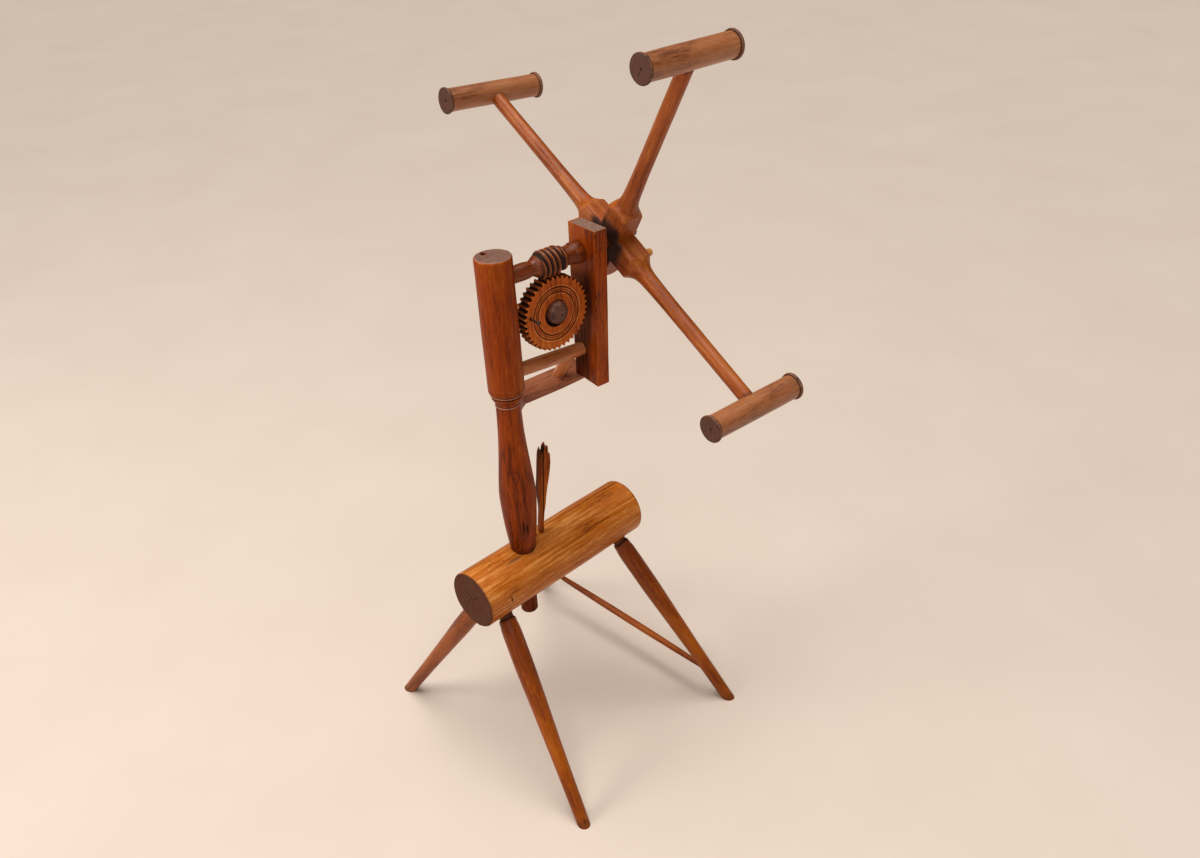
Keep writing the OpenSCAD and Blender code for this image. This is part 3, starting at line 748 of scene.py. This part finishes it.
def build_clicker():
    """Broken slat: every fibre column ends at its own height."""
    half_t, across, layers = 4.5, 40, 14
    torn_x, torn_z = np.array(TORN).T
    u = np.linspace(-1, 1, across)
    v = np.linspace(-half_t, half_t, layers)
    rows = np.concatenate([np.linspace(0, 0.75, 30), np.linspace(0.78, 1, 26)])
    columns = np.stack(np.broadcast_arrays(u[:, None] * 9, v[None, :], 0), -1)
    splinters = 7 * np.abs(fuzz(columns, (1.0, 1.7, 9), 70))
    lean = 9 * step_up(v[None, :], -0.5, 4.5) * (0.5 + 0.5 * np.sin(7 * u[:, None]))
    top = np.interp(u[:, None] * 9 + 0.25, torn_x, torn_z) - splinters - lean

    def spread(share, z):
        """Place across the slat at a height: narrow at the foot, wide at the break."""
        left = np.interp(z, [0, 60, 100, 168], [4, 4, 8.6, 9])
        right = np.interp(z, [0, 60, 148, 184], [2, 2, 10.4, 10.2])
        return share * (left if share < 0 else right)

    def fibre(i, j, share):
        """Point at a share of a fibre column's height."""
        z = top[i, j] * share
        return spread(u[i], z) + 0.35 * math.sin(z / 9), v[j] * (1 - 0.12 * share), z

    rim = [(i, 0) for i in range(across)] + [(across - 1, j) for j in range(1, layers)]
    rim += [(i, layers - 1) for i in range(across - 2, -1, -1)] + [(0, j) for j in range(layers - 2, 0, -1)]
    verts = [fibre(i, j, share) for share in rows for i, j in rim]
    faces = quads(len(rows), len(rim))
    crown = {ij: (len(rows) - 1) * len(rim) + k for k, ij in enumerate(rim)}
    base = {ij: k for k, ij in enumerate(rim)}
    for i in range(1, across - 1):
        for j in range(1, layers - 1):
            crown[i, j], base[i, j] = len(verts), len(verts) + 1
            verts += [fibre(i, j, 1), fibre(i, j, 0)]
    for i in range(across - 1):
        for j in range(layers - 1):
            corners = [(i, j), (i + 1, j), (i + 1, j + 1), (i, j + 1)]
            faces.append([crown[q] for q in corners])
            faces.append([base[q] for q in reversed(corners)])

    at = HEAD @ aim((-11, 39, 330), (3, 48, 500)) @ place(0, 0, 0, ("Z", -42), ("Z", 90))
    make("broken_slat", (np.array(verts), faces), at, "frame", "clicker_stub", SLAT_WOOD,
         marks=slat_marks)


def build_board():
    outline = [(-24.5, SHELF_Z), (-12, SHELF_Z), (25, 573), (35.5, 806), (-20.5, 806)]
    shape = plank(outline, BOARD_Y, BOARD_Y + BOARD_T, 1.0, 3.5, upright, 0.22, 80)
    cutters = [
        (rod_shape(11.2, BOARD_Y - 9, BOARD_Y + BOARD_T + 9), ON_AXLE),
        (rod_shape(ROD_R + 0.4, 20, ROD_LENGTH), ON_ROD),
    ]

    def marks(co):
        x, y, z = co.T
        streak = 0.5 * patches(co, (2.4, 2.4, 70), 81, 0.25, 0.9)
        rubbed = 0.8 * groove(np.hypot(x, z - AXLE_Z) - 13, 2.2) * (y < BOARD_Y + 2)
        # painted shadow on the board's front face below the axle, where the wheel and the post shade it
        wheel_shadow = 0.65 * step_up(y, BOARD_Y + 1.5, BOARD_Y + 0.3) * step_up(z, 762, 730)
        wheel_shadow = wheel_shadow * step_up(x + 0.12 * (760 - z), 36, 24)
        return -np.clip(streak + rubbed + wheel_shadow, 0, 0.9)

    make("bearing_plank", shape, HEAD, "frame", "bearing_board", BOARD_WOOD, cutters, marks)


def build_fittings():
    """Spacer rod, shelf, strut and the wheel's rail."""
    swell = smooth([(ROD_R, 18), (ROD_R + 0.4, 60), (ROD_R, ROD_LENGTH - 15)])
    shape = lathe([(ROD_R, 0)] + swell + [(ROD_R, ROD_LENGTH)], 1.8, 64, 0.2, 90)
    make("spacer_dowel", shape, ON_ROD, "frame", "spacer_rod", ROD_WOOD)

    outline = [(-60, 161), (-60, 33), (-14, -4), (-2, 12), (-26, 46), (-16, 101), (-12, 133), (-12, 161)]
    shape = plank(outline, SHELF_Z - SHELF_T, SHELF_Z, 0.9, 3.5, lying, 0.2, 91)
    slope = math.degrees(math.atan2(10, BOARD_Y - 46))
    wedge = (box_shape((-300, 0, -40), (300, 300, 0)), HEAD @ place(0, 46, SHELF_Z - SHELF_T, ("X", slope)))
    nail_hole = (rod_shape(1.1, SHELF_Z - 5, SHELF_Z + 5, 16), HEAD @ place(-24, 109, 0))
    at = HEAD @ place(0, 0, 0, ("X", -90))

    def marks(co):
        top = step_up(co[:, 1], -SHELF_Z + 2.5, -SHELF_Z + 0.5)
        rubbed = 0.35 * top * patches(co, (9, 9, 30), 92, -0.6, 0.6)
        return rubbed - 0.35 * patches(co, (4, 4, 40), 93, 0.2, 0.9)

    make("slat_shelf", shape, at, "frame", "lower_shelf", SHELF_WOOD, [wedge, nail_hole], marks)

    foot, top = (-39, 115, SHELF_Z), (-9, 118, 624)
    length = math.dist(foot, top)
    floor_cut = (box_shape((-200, -200, -60), (200, 400, 0)), HEAD @ place(0, 0, SHELF_Z))
    rod_cut = (rod_shape(ROD_R + 0.45, -10, 300), ON_ROD)
    shape = lathe([(8.4, -10), (9.5, length)], 1.8, 64, 0.2, 94)
    make("strut_peg", shape, HEAD @ aim(foot, top), "frame", "shelf_strut", ROD_WOOD,
         [floor_cut, rod_cut])

    half, back = 10.5, BOARD_Y + 14
    outline = [(-31, 8), (RAIL_FRONT, 8), (RAIL_FRONT, back), (-31, back)]
    shape = plank(outline, WHEEL_Z - half, WHEEL_Z + half, 1.2, 4, lying, 0.2, 95)
    bore = (rod_shape(9.2, -60, 60), ON_WHEEL)
    make("rail_batten", shape, at, "frame", "wheel_rail", ROD_WOOD, [bore])


# --- counting wheel


def build_pin():
    """Headed pin, whose worn nose stands off its axis and has a dent in it."""
    nose, seat = WHEEL_FACE, WHEEL_FACE - RECESS
    outline = [(8, RAIL_FRONT - 21), (9, RAIL_FRONT - 20), (9, RAIL_FRONT), (PIN_R, RAIL_FRONT)]
    outline += [(PIN_R, seat - 1)]
    outline += smooth([(PIN_R, seat + 0.6), (PIN_NOSE_R, seat + 1.4), (PIN_NOSE_R, nose + 3),
                       (14.5, nose + 6), (10.8, nose + 8.8), (5.2, nose + 10.6), (0.5, nose + 11.1)])

    def from_dent(x, y):
        return np.hypot(x - 1.6, y + 1.6)

    def relief(points, angle):
        x, y, z = np.moveaxis(points, -1, 0)
        r = np.hypot(x, y)
        dent = 1.4 * groove(from_dent(x, y), 1.7) + 0.35 * np.abs(np.sin(r * 1.3)) * step_up(r, 2, 6)
        return -step_up(z, nose + 5, nose + 9) * dent

    verts, faces = lathe(outline, 0.8, 96, 0.08, 100, relief)
    verts[:, 1] += PIN_RISE * step_up(verts[:, 2], seat - 0.5, seat + 0.7)

    def marks(co):
        x, y, z = co[:, 0], co[:, 1] - PIN_RISE, co[:, 2]
        # patchy dark band of painted shade round the nose, so that its middle reads as a highlight
        nose_shade_ring = 0.6 * groove(np.hypot(x, y) - 12.5, 4.0) * patches(co, 5, 101, -0.7, 0.5)
        dent = 0.6 * groove(from_dent(x, y), 1.5)
        # below the nose, down in the recess, the pin is darkened as painted shade
        return -np.clip(0.9 * step_up(z, nose + 1.5, nose - 3) + nose_shade_ring + dent, 0, 0.95)

    make("wheel_pivot", (verts, faces), ON_WHEEL, "frame", "wheel_pin", PIN_WOOD, marks=marks,
         sharp=45)


def tooth_radius(angle):
    """Outline of the toothed rim, as a radius at each angle in degrees."""
    tip_r, root_r, half = PITCH_R + 2.3, PITCH_R - 1.8, 1.9
    first = 90 - (180 - WORM_PHASE) / TEETH + 180 / TEETH
    pitch = 360 / TEETH
    off = (angle - first + pitch / 2) % pitch - pitch / 2
    arc_off = np.abs(np.radians(off)) * PITCH_R
    on_tip, at_root = half - (tip_r - PITCH_R) * FLANK, half + (PITCH_R - root_r) * FLANK
    share = np.clip((at_root - arc_off) / (at_root - on_tip), 0, 1)
    rounding = 0.12 * step_up(share, 0.75, 1) * step_up(arc_off, 0, on_tip + 0.3)
    return root_r + (tip_r - root_r) * (share - rounding)


# rings turned in the wheel's face: radius, depth and width; and the dark rings of painted shade in and by
# them: radius, width and amount
FACE_RINGS = ((27.2, 0.3, 0.8), (30.2, 1.0, 1.25), (33.2, 0.7, 1.0), (36.6, 0.9, 1.2), (41.5, 0.2, 0.8))
RING_SHADES = ((24.2, 0.9, 0.35), (30.2, 1.3, 0.8), (33.2, 0.9, 0.6), (36.6, 1.2, 0.7), (41.5, 0.8, 0.3))
RIDGES = (28.3, 31.8, 34.9, 38.8)


def face_chip(points, x, y):
    """Share of the chipped patch on the wheel's face."""
    return groove(np.hypot(x - 22, y - 23.5), 3.4) * patches(points, 1.3, 112, -0.2, 0.7)


def wheel_marks(co):
    """Painted shade in the face's rings, the gullets, the recess and down the rim and back; a dark broken
    hole and band; pale ridges and chip.
    """
    x, y, z = co.T
    r = np.hypot(x, y)
    face = z > WHEEL_FACE - 3
    dark = 0
    # dark rings of painted shade in and by the face's grooves
    for at, width, depth in RING_SHADES:
        dark = dark + depth * groove(r - at, width) * face
    ridges = sum(0.5 * groove(r - at, 0.8) for at in RIDGES) * face
    # painted shade in the gullets between the teeth
    gullet_shade = 0.8 * step_up(r, PITCH_R + 0.6, PITCH_R - 1.5) * (r > 46.6) * (z < WHEEL_FACE - 0.4)
    hole = 1.2 * groove(np.hypot((x + 43.2) * 0.7, y - 6.5), 2.6) * patches(co, 1.5, 113, -0.7, 0.3) * face
    # painted shade down the recess round the pin
    recess_shade = 0.95 * (r < RECESS_R + 0.2) * step_up(z, WHEEL_FACE - 0.3, WHEEL_FACE - 2)
    # painted shade down the rim's side and over the back
    side = 0.5 * step_up(z, WHEEL_FACE - 0.8, WHEEL_FACE - 2.5) * (r > RECESS_R + 1)
    band = 0.25 * step_up(np.abs(r - 33.4), 6.5, 4.5) * patches(co, (9, 9, 9), 114, -0.6, 0.6) * face
    dark = np.clip(dark + gullet_shade + hole + recess_shade + side + band, 0, 0.95)
    return np.clip(0.9 * face_chip(co, x, y) * face + ridges - dark, -1, 1)


def build_wheel():
    """Toothed wheel as rings that run up its rim, over its face and down its recess and bore."""
    per_tooth = 18
    count = TEETH * per_tooth
    angle = np.arange(count) * 360 / count
    back, front, floor = WHEEL_FACE - WHEEL_T, WHEEL_FACE, WHEEL_FACE - RECESS
    flat = np.stack([angle, angle * 0, angle * 0], -1)
    rim = tooth_radius(angle) - 0.25 * patches(flat, 9, 110, 0.1, 0.9)
    bore = PIN_R + 0.05

    rows = [(r, back) for r in np.linspace(bore + 0.3, 46, 12)]
    rows += [(rim - 1.0, back), (rim - 0.35, back + 0.1), (rim, back + 0.7)]
    rows += [(rim, z) for z in np.linspace(back + 2, front - 1.6, 8)]
    rows += [(rim, front - 0.8), (rim - 0.3, front - 0.25), (rim - 0.9, front)]
    for r in [*np.linspace(46.2, RECESS_R + 0.7, 70), RECESS_R + 0.3, RECESS_R + 0.05]:
        spot = polar(r, angle, 0)
        x, y, _ = spot.T
        rings = 0
        for at, depth, width in FACE_RINGS:
            rings = rings + depth * groove(r - at, width)
        wear = 0.16 * (fuzz(spot, 13, 111) - 1)
        broken = 2.0 * groove(np.hypot((x + 43.5) * 0.6, y - 6.5), 2.4) * patches(spot, 1.4, 113, -0.6, 0.5)
        edge = 0.35 * step_up(r, RECESS_R + 0.9, RECESS_R)
        rows.append((r, front - rings + wear - 1.1 * face_chip(spot, x, y) - broken - edge))
    rows.append((RECESS_R, front - 0.9))
    rows += [(RECESS_R, z) for z in np.linspace(front - 2, floor + 0.4, 6)]
    rows += [(RECESS_R - 0.4, floor), (bore + 0.4, floor), (bore, floor - 0.4)]
    rows += [(bore, z) for z in np.linspace(floor - 2, back + 1.5, 6)] + [(bore, back + 0.3)]
    verts = np.vstack([polar(radius, angle, height) for radius, height in rows])
    make("toothed_wheel", (verts, quads(len(rows), count, closed=True)), ON_WHEEL, "counter_wheel",
         "counting_wheel", WHEEL_WOOD, marks=wheel_marks, sharp=50, grain="Y")


def build_nail():
    """Bent iron nail: a shank whose axis curves, and a flattened head."""
    bent = 2.6
    spot = polar(42, 172, WHEEL_FACE)
    degrees = np.arange(20) * 360 / 20
    rows = []
    for z in np.linspace(-12, 13, 22):
        lean = bent * step_up(z, -1, 13)
        radius = 1.45 if z < 12 else 1.55
        rows.append(polar(radius, degrees, z) + spot + (lean, -0.6 * lean, 0))
    oval = np.ones((20, 3))
    oval[:, 0] += 0.08 * np.cos(np.radians(3 * degrees))
    for radius, z in ((2.3, 12.6), (2.9, 13.0), (2.9, 13.8), (2.3, 14.5), (1.2, 14.6)):
        rows.append(polar(radius, degrees, z) * oval + spot + (bent, -0.6 * bent, 0))
    make("strike_nail_bent", skin(np.array(rows)), ON_WHEEL, "counter_wheel", "strike_nail", IRON,
         sharp=60)


# --- axle and worm


def build_axle():
    """Turned axle with its worm, and the key through its back end."""
    back_y = ARM_Y + BLOCK_D / 2
    outline = [(10.8, -11.9), (11.3, -11.4), (11.3, 29)]
    outline += smooth([(11.3, 29.5), (11.6, 41), (11.2, 49), (10.4, 54), (11.6, 58), (WORM_CORE_R, 63.5)])
    outline += [(WORM_CORE_R, 100.6), (15.2, 101), (16.3, 101.2), (16.5, 102), (16.5, 103.6)]
    outline += smooth([(16.2, 104.8), (13.2, 107.5), (12.9, 110), (13.6, 117), (14.3, 121)])
    outline += smooth([(15, 121.6), (15.6, 126), (15.6, 131), (15.2, 133.3)])
    outline += [(14.9, 133.9), (10, 133.9), (9.9, 178), (7, 178.5), (6.9, back_y + 2), (6.4, 228)]
    outline += smooth([(6.2, 230), (5.2, 232.4), (2.6, 233.2)])
    path = resampled([(0.0, outline[0][1])] + outline + [(0.0, outline[-1][1])], 0.75)[1:-1]
    dense = []
    for (r0, z0), (r1, z1) in zip(path, path[1:]):
        dense.append((r0, z0))
        if 60 < z0 < 103 and z1 - z0 > 0.5:
            dense.append(((r0 + r1) / 2, (z0 + z1) / 2))
    path = np.array(dense + [tuple(path[-1])])
    count = 160
    angle = np.arange(count) * 360 / count
    r, z = path[:, :1], path[:, 1:]
    phase = (angle[None, :] - (WORM_PHASE - 90)) / 360
    advance = (z - WHEEL_Y) / LEAD - phase
    off = advance - np.round(advance)
    wind = (z - WHEEL_Y) / LEAD - off
    last_turn, taper = WORM_TURNS / 2 + 0.02, 0.35
    grown = np.clip(np.minimum((wind + last_turn) / taper, (last_turn - wind) / taper), 0, 1)
    crest_half = 1.3 - (WORM_R - WORM_PITCH_R) * FLANK
    aside = np.abs(off) * LEAD
    crown = 0.35 * (aside / crest_half) ** 2 * (aside < crest_half)
    height = WORM_R - np.maximum(aside - crest_half, 0) / FLANK - crown
    height = 10 + (height - 10) * grown
    points = polar(r, angle, z)
    nicks = 0.35 * patches(points, (4, 4, 2), 120, 0.45, 0.9)
    threads = np.where((z > 62) & (z < 101), height - nicks, 0)
    wear = 0.12 * (fuzz(points, (12, 12, 20), 121) - 1)
    radius = np.maximum(np.maximum(r + wear * (r > 0.5), threads), 0.02)
    torn = 2.2 * step_up(z, 226, 233) * fuzz(points, (2.2, 2.2, 9), 122)
    rings = polar(radius, angle, z - np.abs(torn))
    crest = np.where((z > 62) & (z < 101), step_up(radius, 17.6, 19.0), 0)
    # painted shade in the worm's gullets
    gullet_shade = np.where((z > 64) & (z < 100), step_up(radius, 18.2, 15.8), 0)
    burnt = step_up(z + 0 * radius, 214, 232)
    # pale crests: rubbed wear with a painted highlight
    rubbed = 0.7 * crest * patches(points, (5, 5, 5), 123, -0.5, 0.6)
    marks = np.append((rubbed - 0.9 * gullet_shade - 0.9 * burnt).reshape(-1), [-0.5, -0.95])
    make("worm_axle", skin(rings, (0, 0, path[0, 1]), (0, 0, 231.5)), ON_AXLE, "reel", "reel_axle",
         AXLE_WOOD, marks=lambda co: marks, sharp=55)

    outline = [(-2.9, -14.6), (2.9, -15), (2.9, 15), (-2.7, 14.7)]
    shape = plank(outline, 0, 4.4, 0.6, 2.5, upright, 0.1, 124)
    at = on_arm(SINGLE_ANGLE) @ place(0, BLOCK_D / 2, 0)
    make("hub_wedge", shape, at, "reel", "hub_key", PEG_WOOD)


# --- reel


def arm_profile(s, block_s):
    """Radius of the turning that shapes an arm, at distance s from the hub's middle."""
    knots = smooth([(28, block_s), (25, block_s + 1), (19.5, block_s + 6), (14.6, block_s + 14),
                    (12.3, block_s + 24), (11.3, block_s + 42), (10.5, block_s + 80), (10.2, 220), (10, 285),
                    (10, 320)])
    r, at = np.array(knots).T
    return np.interp(s, at, r)


def stub_profile(s):
    knots = smooth([(28, 41), (26, 43), (20, 53), (12, 59), (4, 61.7), (0.5, 62)])
    r, at = np.array(knots).T
    return np.interp(s, at, r)


def arm_shape(rows, profile, seed):
    """Square block that runs out into a round arm, as rings along +Z."""
    w, d = BLOCK_W / 2, BLOCK_D / 2
    corners = [math.degrees(math.atan2(side_y * y, side_x * x)) % 360
               for x, y in ((w, d - CHAMFER), (w - CHAMFER, d)) for side_x in (1, -1) for side_y in (1, -1)]
    angle = np.array(sorted(set(np.round(np.concatenate([np.arange(0, 360, 2.5), corners]), 3))))
    cosine, sine = np.abs(np.cos(np.radians(angle))), np.abs(np.sin(np.radians(angle)))
    sharpness = 70
    s = np.asarray(rows, float)[:, None]
    chamfer = ((cosine + sine) / (w + d - CHAMFER)) ** sharpness
    block = (cosine / w) ** sharpness + (sine / d) ** sharpness + chamfer
    radius = (block + (1 / np.maximum(profile(s), 0.3)) ** sharpness) ** (-1 / sharpness)
    points = polar(radius, angle, s)
    radius = radius + 0.16 * (fuzz(points, (14, 14, 45), seed) - 1)
    radius = radius + 0.08 * (fuzz(points, (5, 5, 14), seed + 1) - 1)
    return skin(polar(radius, angle, s), (0, 0, s[0, 0]), (0, 0, s[-1, 0]))


def arm_marks(seed):
    def marks(co):
        x, y, z = co.T
        streak = 0.3 * patches(co, (3, 3, 60), seed, 0.25, 0.9)
        far = np.abs(z)
        ends = 0.55 * step_up(far, 280, 290)
        # pale patches where each block runs out into its round arm: a painted sheen
        facet_sheen = 0.4 * step_up(np.hypot(x, y), 15, 17) * step_up(far, 50, 52) * step_up(far, 62, 58)
        # dark on the faces towards the board near the hub: grease, and painted shade where the board shades
        # the hub
        grease_and_shade = 0.85 * step_up(y, -10, -17) * step_up(far, 44, 26)
        return np.clip(facet_sheen - streak - ends - grease_and_shade, -0.95, 0.8)

    return marks


def half_lap(angle, outer):
    """Cutter that frees the crossing for the other piece, a hair wider than it."""
    gap = 0.12
    low, high = (-gap, 40) if outer else (-40, gap)
    half = BLOCK_W / 2 + gap
    return box_shape((-half, low, -60), (half, high, 60)), on_arm(angle)


def build_arms():
    """The two arm pieces, half-lapped at the hub, and the turning peg."""
    reach_left, reach_right = REEL_R - 5 + ARM_PAST, REEL_R + ARM_PAST

    def beam_profile(s):
        return arm_profile(np.abs(s), 50)

    def rows_to(far, near):
        """Distances from the hub's middle, closest where the block runs out."""
        fine = np.arange(44, 80, 0.8)
        coarse = np.arange(80, far, 3.0)
        return np.concatenate([np.arange(near, 44, 3.0), fine, coarse, [far]])

    right = rows_to(reach_right, 0)
    left = -rows_to(reach_left, 3)[::-1]
    axle_hole = (box_shape((-7.1, -60, -7.1), (7.1, 60, 7.1)), on_arm(SINGLE_ANGLE))
    peg_hole = (rod_shape(5.6, 6, 60, 40), on_arm(BEAM_ANGLE) @ place(0, 0, 40, ("X", -90)))
    shape = arm_shape(np.concatenate([left, right]), beam_profile, 130)
    make("beam_arm", shape, on_arm(BEAM_ANGLE), "reel", "arm_beam", REEL_WOOD,
         [half_lap(SINGLE_ANGLE, True), axle_hole, peg_hole], arm_marks(131))

    def single_profile(s):
        return np.where(s > 0, arm_profile(np.abs(s), 50), stub_profile(np.abs(s)))

    stub = -np.concatenate([np.arange(3, 41, 3.0), np.arange(41, 62, 0.8), [61.9]])[::-1]
    shape = arm_shape(np.concatenate([stub, right]), single_profile, 132)
    make("single_arm", shape, on_arm(SINGLE_ANGLE), "reel", "arm_single", REEL_WOOD,
         [half_lap(BEAM_ANGLE, False), axle_hole], arm_marks(133))

    outline = [(5.2, 0.3), (5.5, 1)] + arc(1.6, 26, 3.9, 0, 84)
    shape = lathe(outline, 0.8, 48, 0.1, 134)
    at = on_arm(BEAM_ANGLE) @ place(0, 6, 40, ("X", -90))
    make("turning_dowel", shape, at, "reel", "turning_peg", PEG_WOOD)


def bar_outline(length, lip_r, lip, body_r):
    """A crossbar's outline: a plain body between two lips."""
    body = smooth([(lip_r - 0.2, lip - 0.8), (lip_r - 1, lip), (body_r, lip + 0.9), (body_r - 0.2, lip + 3),
                   (body_r, length / 2), (body_r - 0.2, length - lip - 3), (body_r, length - lip - 0.9),
                   (lip_r - 1, length - lip), (lip_r - 0.2, length - lip + 0.8)], 4)
    low_edge, high_edge = arc(lip_r - 1.5, 1.5, 1.5, -90, 0), arc(lip_r - 1.5, length - 1.5, 1.5, 0, 90)
    return low_edge + [(lip_r, lip - 1.6)] + body + [(lip_r, length - lip + 1.6)] + high_edge


def build_bars():
    lip_r, lip = 18.6, 4.5
    for index, (name, (angle, past, ahead, behind, twist, skew)) in enumerate(BARS.items()):
        length = ahead + behind

        def relief(points, where, length=length, index=index):
            """Dished ends with a centre hole, rings and a crack, and a worn side."""
            x, y, z = np.moveaxis(points, -1, 0)
            r = np.hypot(x, y)
            end = np.maximum(step_up(z, 0.9, 0.1), step_up(z, length - 0.9, length - 0.1))
            centre = 2.2 * groove(r, 1.1)
            rings = 0.12 * (1 + np.sin(r * 2.2)) + 0.7 * step_up(r, 15, 4)
            rings = rings + 0.3 * (1 - fuzz(points, 8, 140 + index))
            off = where - 2.1 - index
            crack = 0.5 * groove(r * np.sin(off), 0.5) * step_up(r, 14, 8) * (np.cos(off) > 0)
            worn = 0.25 * (fuzz(points, (14, 14, 40), 150 + index) - 1)
            return -end * (centre + rings + crack) + (1 - end) * worn

        def marks(co, length=length, index=index):
            x, y, z = co.T
            r = np.hypot(x, y)
            near = np.minimum(z, length - z)
            dot = 1.0 * step_up(r, 1.9, 0.9) * step_up(near, 3.5, 2.5)
            rim = 0.6 * groove(near - lip - 0.4, 0.9)
            rim = rim + 0.5 * step_up(near, lip, lip - 1.2) * step_up(r, lip_r - 2.6, lip_r - 1)
            grain = 0.3 * patches(co, (3, 3, 46), 160 + index, 0.25, 0.9)
            return -np.clip(dot + rim + grain, 0, 0.95)

        at = HEAD @ place(0, 0, AXLE_Z, ("Y", -angle))
        at = at @ place(REEL_R + past, ARM_Y, 0, ("Z", skew), ("X", twist), ("X", -90)) @ place(0, 0, -ahead)
        bore = (rod_shape(10.25, 0, REEL_R + past + ARM_PAST), on_arm(angle))
        shape = lathe(bar_outline(length, lip_r, lip, lip_r - 2), 1.4, 112, 0.1, 170 + index, relief)
        make(name + "_turned", shape, at, "reel", name, BAR_WOOD, [bore], marks)


build_stand()
build_post()
build_clicker()
build_board()
build_fittings()
build_pin()
build_wheel()
build_nail()
build_axle()
build_arms()
build_bars()

# --- camera, floor and light


def look(azimuth, elevation, roll):
    """Camera rotation that looks along a direction, in degrees."""
    a, e, t = (math.radians(v) for v in (azimuth, elevation, roll))
    ahead = Vector((-math.sin(a) * math.cos(e), math.cos(a) * math.cos(e), -math.sin(e)))
    right = Vector((math.cos(a), math.sin(a), 0))
    up = right.cross(ahead)
    side = math.cos(t) * right + math.sin(t) * up
    above = -math.sin(t) * right + math.cos(t) * up
    return Matrix((side, above, -ahead)).transposed().to_4x4()


# where the camera stands from the foot of the post, in metres
CAMERA_PLACE = (1.0885, -0.6964, 1.34185)
CAMERA_ANGLES = (52.027, 31.814, -3.25)
# each area light's place, side, power and tint
LIGHTS = {
    "key": ((-0.9, -2.2, 2.2), 1.2, 42, (1, 0.96, 0.9)),
    "front": ((1.9, -1.5, 2.0), 1.0, 20, (1, 0.97, 0.93)),
}
LIT_POINT = Vector((0, 0, 0.55))


def link(name, data):
    obj = bpy.data.objects.new(name, data)
    bpy.context.scene.collection.objects.link(obj)
    return obj


def build_camera():
    data = bpy.data.cameras.new("camera")
    data.sensor_width = 36
    data.lens = 33.405
    camera = link("camera", data)
    place_at = Vector(CAMERA_PLACE) + Vector((post_axis.x, post_axis.y, 0))
    camera.matrix_world = Matrix.Translation(place_at) @ look(*CAMERA_ANGLES)
    bpy.context.scene.camera = camera


def build_floor():
    n = Nodes("pale_floor")
    texture = n.add("ShaderNodeTexCoord").outputs["Object"]
    tone = n.mix(n.noise(texture, 3, 3), "c6b5a8", "cfc0b3")
    bpy.ops.mesh.primitive_plane_add(size=40)
    floor = bpy.context.object
    floor.name = "floor"
    floor.data.materials.append(n.finished(tone, 0.85))


def build_lights():
    """Two soft lamps at the front and a wide soft one overhead."""
    for name, (spot, side, power, tint) in LIGHTS.items():
        data = bpy.data.lights.new(name, "AREA")
        data.size, data.energy, data.color = side, power, tint
        light = link(name, data)
        light.location = spot
        light.rotation_euler = (LIT_POINT - Vector(spot)).to_track_quat("-Z", "Y").to_euler()
    sky = bpy.data.lights.new("sky", "SUN")
    sky.energy, sky.angle, sky.color = 3.0, math.radians(45), (1, 0.98, 0.95)
    link("sky", sky)


def build_world():
    """Weak fill light, and a pale backdrop that only the camera sees."""
    world = bpy.data.worlds.new("studio")
    world.use_nodes = True
    tree = world.node_tree
    mix = tree.nodes.new("ShaderNodeMixShader")
    seen = tree.nodes.new("ShaderNodeLightPath")
    tree.links.new(seen.outputs["Is Camera Ray"], mix.inputs[0])
    fill, backdrop = tree.nodes["Background"], tree.nodes.new("ShaderNodeBackground")
    for socket, node, tint, strength in ((1, fill, "f4ebe0", 0.12), (2, backdrop, "ecdfd3", 0.9)):
        node.inputs["Color"].default_value = colour(tint)
        node.inputs["Strength"].default_value = strength
        tree.links.new(node.outputs[0], mix.inputs[socket])
    tree.links.new(mix.outputs[0], tree.nodes["World Output"].inputs[0])
    bpy.context.scene.world = world


build_camera()
build_floor()
build_lights()
build_world()
bpy.context.scene.view_settings.view_transform = "Standard"
